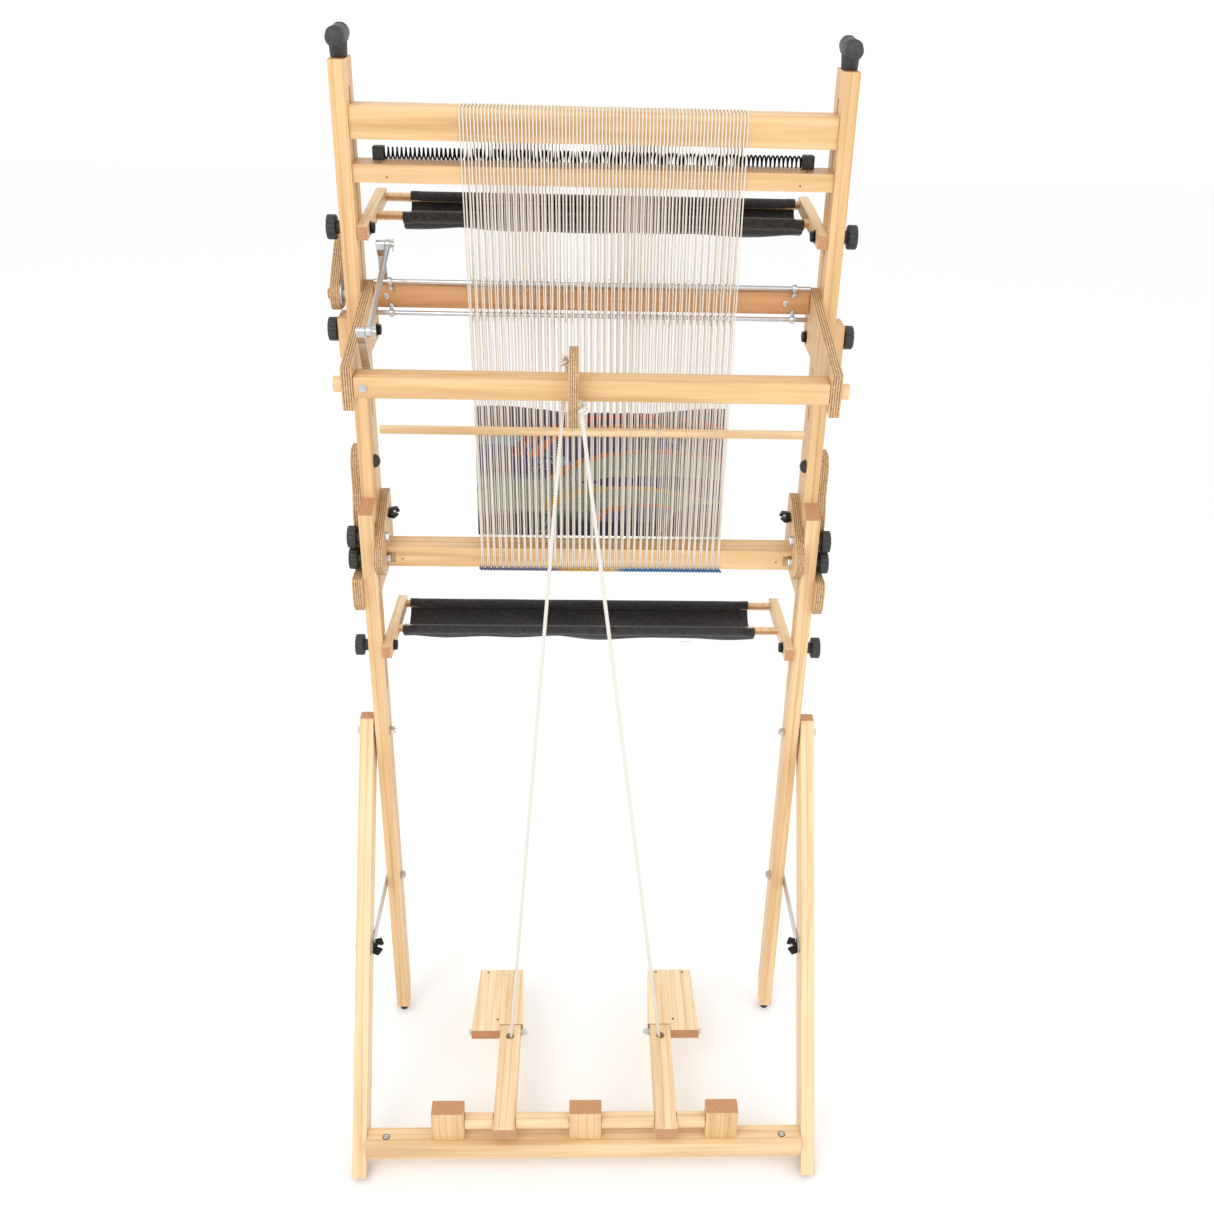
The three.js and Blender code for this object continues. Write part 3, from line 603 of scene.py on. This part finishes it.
black_canvas = canvas("black_canvas")
for level_name, slope, seed in (("upper", math.radians(4), 5), ("lower", math.radians(-4), 9)):
    low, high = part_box(f"{level_name}_tray_cloth")
    knob_low, knob_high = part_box(f"{level_name}_tray_knob_right")
    pivot = Vector((0, (knob_low[1] + knob_high[1]) / 2, (knob_low[2] + knob_high[2]) / 2))
    near, far, sleeve_r, sag = 0.058, 0.150, 0.0078, 0.027
    profile = []
    for i in range(15):
        a = math.radians(200 - 290 * i / 14 + 200)
        profile.append((near + sleeve_r * math.cos(a), sleeve_r * math.sin(a)))
    for i in range(1, 16):
        t = i / 16
        profile.append((near - 0.003 + t * (far - near + 0.006),
                        -sleeve_r - (sag - sleeve_r) * (1 - (2 * t - 1) ** 2) ** 0.8))
    for i in range(15):
        a = math.radians(-90 + 290 * i / 14)
        profile.append((far + sleeve_r * math.cos(a), sleeve_r * math.sin(a)))
    bm = bmesh.new()
    row = [bm.verts.new((low[0], y, z)) for y, z in profile]
    edges = [bm.edges.new(pair) for pair in zip(row, row[1:])]
    columns = 110
    cut_run = (high[0] - low[0]) / columns
    for _ in range(columns):
        grown = bmesh.ops.extrude_edge_only(bm, edges=edges)["geom"]
        edges = [g for g in grown if isinstance(g, bmesh.types.BMEdge) and g.is_boundary
                 and all(v in grown for v in g.verts) and len(g.link_faces) == 1]
        verts = [g for g in grown if isinstance(g, bmesh.types.BMVert)]
        bmesh.ops.translate(bm, verts=verts, vec=(cut_run, 0, 0))
    random.seed(seed)
    waves = [(random.uniform(8, 60), random.uniform(0, 6.28), random.uniform(20, 90)) for _ in range(7)]
    for vert in bm.verts:
        y, z = vert.co.y, vert.co.z
        hang = max(0.0, min(1.0, (-z - 0.004) / 0.016))
        crease = sum(math.sin(k * vert.co.x + p + q * y) for k, p, q in waves) / 7
        vert.co.z += hang * crease * 0.0045
        vert.co.y += 0.0022 * crease * (0.3 + hang)
        if min(abs(vert.co.x - low[0]), abs(vert.co.x - high[0])) < 0.012:
            vert.co.z -= 0.002 * (1 - hang) * math.sin(40 * y)
    bmesh.ops.rotate(bm, verts=bm.verts, cent=(0, 0, 0), matrix=Matrix.Rotation(slope, 3, "X"))
    bmesh.ops.translate(bm, verts=bm.verts, vec=pivot)
    tray = keep(f"{level_name}_tray_canvas", bm, black_canvas, f"{level_name}_tray",
                [f"{level_name}_tray_cloth"], 180)
    thick = tray.modifiers.new("cloth", "SOLIDIFY")
    thick.thickness = 0.0011
    thick.offset = 0
    run = sum(math.dist(a, b) for a, b in zip(profile, profile[1:]))
    extra = []
    if level_name == "lower":
        bm = bmesh.new()
        tag = sawn(bm, (-0.009, -0.0006, -0.004), (0.009, 0.0006, 0.004), 0)
        bmesh.ops.translate(bm, verts=tag, vec=pivot + Vector((0.148, near - 0.012, -0.021)))
        label_white, *_ = shader("label_white", 0.8)
        label_white.node_tree.nodes["Principled BSDF"].inputs["Base Color"].default_value = (0.8, 0.8, 0.78, 1)
        extra = [keep("lower_tray_label", bm, label_white, "lower_tray")]

# ---- Rocker beam --------------------------------------------------------------------------------
# A maple beam that rocks on round tenons in the shed plates. A plywood disc is let into its middle
# for the treadle ropes, and a screw with a washer through its left end holds the linkage strap.
high = rocker_high
beam_half, beam_low, beam_high = 0.2905, rocker_z - 0.012, rocker_z + 0.014
bm = bmesh.new()
sawn(bm, (-beam_half, rocker_y - 0.018, beam_low), (beam_half, rocker_y + 0.018, beam_high), 0.0014)
keep("rocker_beam_bar", bm, wood("maple_rocker", 0, 0.25, seed=41), "rocker", ["rocker_beam"])
bm = bmesh.new()
for side in (-1, 1):
    tenon_x = side * (beam_half + high[0]) / 2
    turned(bm, "x", (tenon_x, rocker_y, rocker_z), 0.0099, high[0] - beam_half + 0.002, 32, 0.001)
keep("rocker_tenons", bm, wood("maple_tenon", 0, 0.6, seed=42), "rocker")
bm = bmesh.new()
turned(bm, "x", (disc_x, rocker_y, rocker_z), 0.05, 0.012, 72, 0.0015)
disc_ply = plywood("birch_rope_disc", 7, (abs(disc_x) - 0.006, abs(disc_x) + 0.006))
keep("rope_disc", bm, disc_ply, "rocker")
bm = bmesh.new()
strap_x = -0.279
turned(bm, "y", (strap_x, rocker_y - 0.0186, rocker_z + 0.001), 0.0052, 0.0012, 28, 0.0003)
turned(bm, "y", (strap_x, rocker_y - 0.0202, rocker_z + 0.001), 0.0034, 0.0028, 20, 0.0008)
turned(bm, "y", (strap_x, rocker_y - 0.0214, rocker_z + 0.001), 0.0012, 0.0012, 12)
keep("rocker_screw", bm, drawn_steel, "rocker")

# ---- Heddle bar ---------------------------------------------------------------------------------
# A reddish hardwood bar that pivots in the far ends of the shed plates. Two steel rods stand off it
# on eye bolts, above and below; cotton leashes are tied round the rods and looped round the warp.
low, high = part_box("heddle_bar")
heddle_y, heddle_z = 0.1247, (low[2] + high[2]) / 2
reddish = wood("reddish_hardwood", 0, 0.0, seed=51, stain=(0.82, 0.68, 0.66))
bm = bmesh.new()
sawn(bm, (-beam_half, heddle_y - 0.009, heddle_z - 0.015), (beam_half, heddle_y + 0.009, heddle_z + 0.015),
     0.0012)
for side in (-1, 1):
    axle_x = side * (beam_half + high[0]) / 2
    turned(bm, "x", (axle_x, heddle_y, heddle_z), 0.0042, high[0] - beam_half + 0.002, 24)
keep("heddle_bar_wood", bm, reddish, "heddle", ["heddle_bar"])
bm = bmesh.new()
rod_y, rod_lift = heddle_y - 0.013, 0.021
for up in (-1, 1):
    rod_z = heddle_z + up * rod_lift
    turned(bm, "x", (0, rod_y, rod_z), 0.003, 0.578, 20, 0.0004)
    for x in (-0.268, 0.268):
        turned(bm, "x", (x, rod_y, rod_z), 0.0052, 0.006, 24, 0.0006)
        turned(bm, "z", (x, rod_y, heddle_z + up * 0.0165), 0.0022, 0.009, 16)
        turned(bm, "z", (x, rod_y, heddle_z + up * 0.0115), 0.0038, 0.003, 6, 0.0003)
        turned(bm, "y", (x, heddle_y - 0.0105, heddle_z + up * 0.0115), 0.0032, 0.006, 20, 0.0006)
for x in (-0.2745, 0.258):
    turned(bm, "y", (x, heddle_y - 0.0098, heddle_z), 0.0042, 0.002, 20, 0.0007)
keep("heddle_rods", bm, drawn_steel, "heddle")
warp_x0, warp_x1, threads = -0.160, 0.190, 80
thread_gap = (warp_x1 - warp_x0) / threads
leash_reach = 0.019      # from a rod to just past the rear warp threads
leash_cotton = cotton("leash_cotton", (0.82, 0.77, 0.68), (0.6, 0.54, 0.45), 1.5)
random.seed(3)
leashes = []
for up in (1, -1):
    rod_z = heddle_z + up * rod_lift
    for i in range(0, threads, 2):
        x = warp_x0 + (i + 0.5) * thread_gap
        wobble = random.uniform(-0.0012, 0.0012)
        leashes.append([(x - 0.0012, rod_y - leash_reach, rod_z - 0.004),
                        (x - 0.001, rod_y - 0.005, rod_z + 0.0038),
                        (x + wobble, rod_y + 0.001, rod_z + 0.0042), (x + 0.001, rod_y - 0.004, rod_z - 0.0038),
                        (x + 0.0012, rod_y - leash_reach, rod_z - 0.006)])
        if up > 0 and i % 4 == 0:
            tip = random.uniform(0.006, 0.011)
            leashes.append([(x - 0.004, rod_y - 0.004, rod_z + tip), (x, rod_y - 0.003, rod_z + 0.004),
                            (x + 0.004, rod_y - 0.005, rod_z + tip * 0.9)])
run_of_cord("heddle_leashes", leashes, 0.00055, leash_cotton, "heddle", sides=0)

# ---- Shed linkage -------------------------------------------------------------------------------
# Bent steel straps stand up from the left ends of rocker and heddle bar, and a round steel rod with
# flattened eyes joins their tops on pins with split cotters, so that both rock together.
for node in ("rocker_strap", "heddle_strap", "connecting_rod"):
    finish(node, drawn_steel)
pin_x = -0.2695
strap_up = 0.066
for name, body, y, z in (("rocker_cotter", "rocker", rocker_y, rocker_z + strap_up),
                         ("heddle_cotter", "heddle", heddle_y, heddle_z + strap_up)):
    bm = bmesh.new()
    turned(bm, "x", (pin_x + 0.0045, y, z), 0.0044, 0.001, 24)
    turned(bm, "x", (pin_x - 0.0145, y, z), 0.0048, 0.0018, 24, 0.0004)
    turned(bm, "z", (pin_x + 0.0062, y, z - 0.002), 0.0009, 0.014, 10)
    turned(bm, "y", (pin_x + 0.0062, y, z + 0.005), 0.0022, 0.0012, 16)
    turned(bm, "x", (pin_x + 0.0062, y, z), 0.0024, 0.004, 20)
    keep(name, bm, zinc, body)

# ---- Hand lever ---------------------------------------------------------------------------------
# A plywood lever outside the left post, bolted to the heddle bar's axle with a broad bright washer,
# for opening the shed by hand.
finish("hand_lever", plywood("birch_hand_lever", 13, (0.335, 0.347), steel_from=-0.3349))

# ---- Treadle fittings ---------------------------------------------------------------------------
# Each footboard is bolted through its side to the lever's end, with a hexagon head outside and a
# lock nut inside, and two small screws pin its far edge.
for hand, side in (("left", -1), ("right", 1)):
    board_low, board_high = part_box(f"footboard_{hand}")
    bolt_y, bolt_z = board_low[1] + 0.0068, (board_low[2] + board_high[2]) / 2 - 0.001
    lever_in = 0.1045
    board_out = max(abs(board_low[0]), abs(board_high[0]))
    bm = bmesh.new()
    turned(bm, "x", (side * (board_out - 0.0004), bolt_y, bolt_z), 0.0062, 0.0014, 28)
    turned(bm, "x", (side * (board_out + 0.002), bolt_y, bolt_z), 0.005, 0.0042, 6, 0.0005)
    turned(bm, "x", (side * (lever_in - 0.001), bolt_y, bolt_z), 0.0066, 0.0014, 28)
    turned(bm, "x", (side * (lever_in - 0.0046), bolt_y, bolt_z), 0.0055, 0.006, 6, 0.0006)
    turned(bm, "x", (side * (lever_in - 0.008), bolt_y, bolt_z), 0.0028, 0.006, 16)
    keep(f"footboard_bolt_{hand}", bm, zinc, f"treadle_{hand}")
    bm = bmesh.new()
    rear_row, front_row = board_low[1] + 0.024, board_high[1] - 0.006
    for x, y in ((0.120, front_row), (0.165, front_row), (0.143, rear_row)):
        turned(bm, "z", (side * x, y, board_high[2] + 0.0001), 0.0016, 0.0006, 16)
    keep(f"footboard_screws_{hand}", bm, black_steel_and_hole_shade, f"treadle_{hand}")

# ---- Warp ---------------------------------------------------------------------------------------
# Off-white cotton warp, wound as one layer of turns over the top beam, down past the spring and the
# weaving, under the bottom beam and up the rear. The shed draws neighbouring rear threads together.
warp_look = cotton("warp_cotton", (0.92, 0.87, 0.80), (0.78, 0.70, 0.60), 1.4)
bottom_low, bottom_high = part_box("bottom_beam")
top_low, top_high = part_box("top_beam")
spring_low, spring_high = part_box("spring_beam")
thread_r = 0.0009
top_x0, top_x1 = -0.171, 0.193      # the threads fan out a little towards the top beam
lift = 0.0011
bevel = 0.005
random.seed(29)
turns = []
for i in range(threads):
    x = warp_x0 + (i + 0.5) * thread_gap
    top_x = top_x0 + (i + 0.5) * (top_x1 - top_x0) / threads
    pair = 0.0008 * (1 if i % 2 == 0 else -1)
    stray = random.uniform(-0.0006, 0.0006)
    rear_bottom = Vector((x + pair + stray, bottom_low[1] - lift, bottom_high[2]))
    rear_top = Vector((top_x, top_low[1] - lift, top_high[2] - bevel))
    far_bottom = Vector((x + pair, bottom_high[1] + lift, bottom_high[2]))
    far_spring = Vector((top_x, spring_high[1] + 0.0035, spring_high[2]))
    run = [far_bottom] + [Vector((x + pair, y, z)) for y, z in (
        (bottom_high[1] + lift, bottom_low[2]), (bottom_high[1] - 0.001, bottom_low[2] - lift),
        (bottom_low[1] + 0.001, bottom_low[2] - lift), (bottom_low[1] - lift, bottom_low[2]))]
    for k in range(13):
        t = k / 12
        spot = rear_bottom.lerp(rear_top, t)
        spot.x = x + (top_x - x) * t + (pair * 1.6 + stray) * min(1.0, 1.6 * (1 - t))
        if i % 2:
            spot.y -= 0.010 * math.sin(math.pi * min(1.0, t * 1.02)) * (0.3 + 0.7 * (1 - t))
        run.append(spot)
    run += [Vector((top_x, top_low[1] + bevel - 0.001, top_high[2] + lift)),
            Vector((top_x, top_high[1] - bevel + 0.001, top_high[2] + lift)),
            Vector((top_x, top_high[1] + lift, top_high[2] - bevel)), far_spring]
    run += [far_spring.lerp(far_bottom, k / 9) for k in range(1, 9)]
    turns.append(run)
strands = run_of_cord("warp_curve", turns, thread_r, warp_look, None, closed=True, sides=1)
bpy.context.view_layer.update()
mesh = bpy.data.meshes.new_from_object(strands.evaluated_get(bpy.context.evaluated_depsgraph_get()))
bpy.data.objects.remove(strands)
warp = bpy.data.objects.new("warp_threads", mesh)
scene.collection.objects.link(warp)
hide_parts("warp")
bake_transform(warp)

# ---- Tapestry -----------------------------------------------------------------------------------
# Wool tapestry, finished up to the fell: bands and hills in violet, blue, sage and green with bright
# orange arcs, packed over the far layer of warp. Cut weft ends hang on its rear face.
low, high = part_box("tapestry")
bm = bmesh.new()
columns, rows = 80, 46
bmesh.ops.create_grid(bm, x_segments=columns, y_segments=rows, size=0.5)
tap_w, tap_h = high[0] - low[0], high[2] - low[2]
for vert in bm.verts:
    u, v = vert.co.x + 0.5, vert.co.y + 0.5
    fell = 0.965 + 0.035 * math.sin(7 * u + 1) if v > 0.96 else v
    vert.co = (low[0] + u * tap_w, 0, low[2] + min(v, fell) * tap_h)
    slant = (vert.co.z - low[2]) / tap_h
    ridge = 0.0005 * math.sin(vert.co.x / thread_gap * math.pi)
    vert.co.y = low[1] + 0.0012 + slant * (high[1] - low[1] - 0.0024) + ridge


def tapestry_wool(name):
    look, nodes, links, surface, where = shader(name, 0.95)
    apart = nodes.new("ShaderNodeSeparateXYZ")
    links.new(where, apart.inputs["Vector"])

    def sums(operation, a, b=0.0):
        node = nodes.new("ShaderNodeMath")
        node.operation = operation
        for socket, value in zip(node.inputs, (a, b)):
            if isinstance(value, bpy.types.NodeSocket):
                links.new(value, socket)
            else:
                socket.default_value = value
        return node.outputs["Value"]

    u = sums("DIVIDE", sums("SUBTRACT", apart.outputs["X"], low[0]), tap_w)
    v = sums("DIVIDE", sums("SUBTRACT", apart.outputs["Z"], low[2]), tap_h)
    uneven = noise(nodes, links, stretched(nodes, links, where, (1, 1, 2)), 55, 2)
    jag = sums("MULTIPLY", sums("SUBTRACT", uneven, 0.5), 0.05)
    v = sums("ADD", v, jag)
    # base bands from the hem up
    color = ramp(nodes, links, v, (0.0, (0.03, 0.045, 0.09)), (0.10, (0.035, 0.05, 0.11)),
                 (0.18, (0.18, 0.26, 0.22)), (0.34, (0.05, 0.05, 0.14)), (0.42, (0.28, 0.4, 0.46)),
                 (0.5, (0.06, 0.05, 0.13)), (0.62, (0.1, 0.085, 0.2)), (0.8, (0.12, 0.09, 0.19)),
                 (1.0, (0.16, 0.12, 0.17)))

    def hill(color, at_u, at_v, half, tall, fill, rim=None, rim_width=0.05):
        across_hill = sums("DIVIDE", sums("SUBTRACT", u, at_u), half)
        up_hill = sums("DIVIDE", sums("SUBTRACT", v, at_v), tall)
        squares = [sums("MULTIPLY", way, way) for way in (across_hill, up_hill)]
        round_ = sums("SQRT", sums("ADD", *squares))
        above = sums("GREATER_THAN", up_hill, 0.0)
        if rim:
            band = sums("MULTIPLY", sums("LESS_THAN", round_, 1.0), above)
            color = blended(nodes, links, band, color, rim)
        inside = sums("MULTIPLY", sums("LESS_THAN", round_, 1.0 - (rim_width if rim else 0)), above)
        return blended(nodes, links, inside, color, fill)

    red, orange, yellow = (0.42, 0.045, 0.015), (0.6, 0.17, 0.03), (0.58, 0.36, 0.08)
    sage, dusk, sky, moss = (0.33, 0.38, 0.27), (0.1, 0.075, 0.17), (0.28, 0.42, 0.55), (0.05, 0.09, 0.06)
    # each hill: middle across and up, half width, height, fill, and its rim with the rim's width
    for place in ((0.10, 0.56, 0.28, 0.22, sky), (0.02, 0.55, 0.30, 0.16, (0.09, 0.075, 0.22)),
                  (0.66, 0.62, 0.52, 0.33, (0.1, 0.07, 0.12), red, 0.10),
                  (0.66, 0.62, 0.44, 0.26, (0.13, 0.1, 0.2), orange, 0.10),
                  (0.72, 0.44, 0.42, 0.24, sage, orange, 0.12), (0.70, 0.42, 0.36, 0.16, sage),
                  (0.75, 0.34, 0.42, 0.14, dusk), (0.30, 0.20, 0.36, 0.24, sage),
                  (0.62, 0.20, 0.36, 0.20, sage, yellow, 0.14),
                  (0.70, 0.12, 0.24, 0.14, (0.12, 0.14, 0.3), orange, 0.2),
                  (0.20, 0.05, 0.24, 0.13, moss), (0.95, 0.04, 0.20, 0.26, (0.03, 0.045, 0.03), sage, 0.12)):
        color = hill(color, *place)
    fleck = noise(nodes, links, stretched(nodes, links, where, (1, 1, 0.5)), 700, 2)
    shade = ramp(nodes, links, fleck, (0.3, (0.8, 0.8, 0.8)), (0.7, (1.45, 1.45, 1.45)))
    links.new(multiplied(nodes, links, color, shade, 1), surface.inputs["Base Color"])
    ribs = nodes.new("ShaderNodeTexWave")
    ribs.inputs["Scale"].default_value = 0.314 / thread_gap
    ribs.bands_direction = "X"
    links.new(where, ribs.inputs["Vector"])
    raised(nodes, links, surface, sums("ADD", ribs.outputs["Fac"], sums("MULTIPLY", fleck, 0.6)), 0.0012, 0.8)
    return look


wool = tapestry_wool("tapestry_wool")
cloth_piece = keep("tapestry_cloth", bm, wool, "loom_frame", ["tapestry"], 180)
thick = cloth_piece.modifiers.new("cloth", "SOLIDIFY")
thick.thickness = 0.0016
thick.offset = 0
random.seed(17)
ends = []
bunches = ((0.28, 0.62, 5), (0.38, 0.55, 4), (0.62, 0.66, 4), (0.3, 0.14, 6), (0.8, 0.8, 4), (0.18, 0.7, 4),
           (0.5, 0.3, 3))
for u, v, count in bunches:
    for _ in range(count):
        x = low[0] + (u + random.uniform(-0.03, 0.03)) * tap_w
        z = low[2] + (v + random.uniform(-0.04, 0.04)) * tap_h
        y = low[1] - 0.001 + (z - low[2]) / tap_h * (high[1] - low[1] - 0.0024)
        bend, drop = random.uniform(-0.02, 0.025), random.uniform(0.015, 0.04)
        ends.append([(x + bend * t * t, y - 0.004 * math.sin(math.pi * t),
                      z - drop * t * (1.3 - 0.3 * t) + 0.004 * t) for t in (0, 0.25, 0.5, 0.75, 1)])
pale_yarn = cotton("loose_yarn", (0.6, 0.62, 0.66), (0.4, 0.42, 0.48), 1.2)
yarn = run_of_cord("loose_weft_ends", ends, 0.0006, pale_yarn, "loom_frame", sides=0)
# the hem: a row of coloured stitches round the threads under the bottom beam
hem = []
for i in range(threads):
    x = warp_x0 + (i + 0.5) * thread_gap
    hem.append([(x - thread_gap * 0.5, bottom_low[1] - 0.0022, bottom_low[2] + 0.0005),
                (x, bottom_low[1] - 0.003, bottom_low[2] - 0.0015),
                (x + thread_gap * 0.5, bottom_low[1] - 0.0022, bottom_low[2] - 0.0035)])
hem_look, nodes, links, surface, where = shader("hem_wool", 0.95)
apart = nodes.new("ShaderNodeSeparateXYZ")
links.new(where, apart.inputs["Vector"])
along_hem = nodes.new("ShaderNodeMapRange")
along_hem.inputs["From Min"].default_value = warp_x0
along_hem.inputs["From Max"].default_value = warp_x1
links.new(apart.outputs["X"], along_hem.inputs["Value"])
links.new(ramp(nodes, links, along_hem.outputs["Result"], (0.0, (0.1, 0.08, 0.16)), (0.3, (0.12, 0.1, 0.17)),
               (0.36, (0.45, 0.22, 0.04)), (0.55, (0.5, 0.32, 0.06)), (0.6, (0.03, 0.12, 0.28)),
               (1.0, (0.02, 0.1, 0.25))), surface.inputs["Base Color"])
run_of_cord("hem_stitches", hem, 0.0017, hem_look, "loom_frame", sides=1)

# ---- Warping dowel cords and small fittings -----------------------------------------------------
# The loose dowel hangs in cotton loops tied round the rear warp. Flat discs show the barrel nuts in the beams,
# bright nuts each in a black ring of painted shade for the hole, small nails pin the joints, and rubber half-domes
# on the inner posts stop the shed plates.
dowel_low, dowel_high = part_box("warping_dowel")
dowel_y, dowel_z = (dowel_low[1] + dowel_high[1]) / 2, (dowel_low[2] + dowel_high[2]) / 2
loops = []
for i in range(3, threads, 9):
    x = warp_x0 + (i + 0.5) * thread_gap
    loops.append([(x + 0.0009 * math.sin(a), dowel_y + 0.0072 * math.cos(a) + 0.001, dowel_z + 0.0072 * math.sin(a))
                  for a in (2 * math.pi * k / 12 for k in range(12))])
run_of_cord("dowel_loops", loops, 0.0008, leash_cotton, "loom_frame", closed=True, sides=0)


def plugs(name, places, axis, radius, look, body, proud=0.0003):
    bm = bmesh.new()
    for place in places:
        turned(bm, axis, place, radius, 2 * proud + 0.0004, 28, 0.0001)
    return keep(name, bm, look, body)


stretch_low, stretch_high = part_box("stretcher")
for name, node, body, y, z, reach in (
        ("stretcher_barrels", "stretcher", "rear_frame", (stretch_low[1] + stretch_high[1]) / 2, stretch_high[2], 0.299),
        ("spring_beam_barrels", "spring_beam", "loom_frame", spring_low[1] + 0.014, spring_high[2], 0.2745)):
    # the black disc round each nut is painted shade for the dark depth of the hole, not a part
    plugs(f"{name}_hole", [(s * reach, y, z) for s in (-1, 1)], "z", 0.0055, black_steel_and_hole_shade, body, 0.0001)
    plugs(f"{name}_nut", [(s * reach, y, z + 0.0003) for s in (-1, 1)], "z", 0.0044, zinc, body, 0.0001)
for node, x, y, z in (("spring_beam", 0.262, spring_low[1], spring_low[2] + 0.007),
                      ("bottom_beam", 0.27, bottom_low[1], bottom_low[2] + 0.012)):
    plugs(f"{node}_nails", [(s * x, y, z) for s in (-1, 1)], "y", 0.0011, black_steel_and_hole_shade, "loom_frame",
          0.0001)
for hand, side in (("left", -1), ("right", 1)):
    bm = bmesh.new()
    face_x = side * 0.3046
    dome = bmesh.ops.create_uvsphere(bm, u_segments=28, v_segments=16, radius=0.0095,
                                     matrix=Matrix.Translation((face_x, 0.1097, 1.006)))["verts"]
    for vert in dome:
        vert.co.x = face_x + side * 0.85 * min(0.0, (vert.co.x - face_x) * side)
    keep(f"shed_stop_{hand}", bm, black_nylon(f"rubber_stop_{hand}", 0.03), "loom_frame")

# ---- Floor and light ----------------------------------------------------------------------------
# A plain white floor under a white sky, with one broad soft lamp above and behind the viewer.
mesh = bpy.data.meshes.new("floor")
bm = bmesh.new()
bmesh.ops.create_grid(bm, x_segments=1, y_segments=1, size=8)
bm.to_mesh(mesh)
bm.free()
floor_white, nodes, links, surface, where = shader("floor_white", 0.9)
surface.inputs["Base Color"].default_value = (0.93, 0.93, 0.93, 1)
mesh.materials.append(floor_white)
floor = bpy.data.objects.new("floor", mesh)
scene.collection.objects.link(floor)
sky = bpy.data.worlds.new("sky")
sky.use_nodes = True
sky.node_tree.nodes["Background"].inputs["Color"].default_value = (1, 1, 1, 1)
sky.node_tree.nodes["Background"].inputs["Strength"].default_value = 1.05
scene.world = sky
aim = Vector((0, 0, 0.8))
for name, place, size, power in (("key", (-1.4, -2.4, 3.4), 2.2, 40), ("fill", (2.2, -1.8, 2.2), 2.5, 14)):
    lamp = bpy.data.lights.new(name, "AREA")
    lamp.size = size
    lamp.energy = power
    light = bpy.data.objects.new(name, lamp)
    light.location = place
    light.rotation_euler = (aim - Vector(place)).to_track_quat("-Z", "Y").to_euler()
    scene.collection.objects.link(light)
scene.view_settings.view_transform = "Standard"
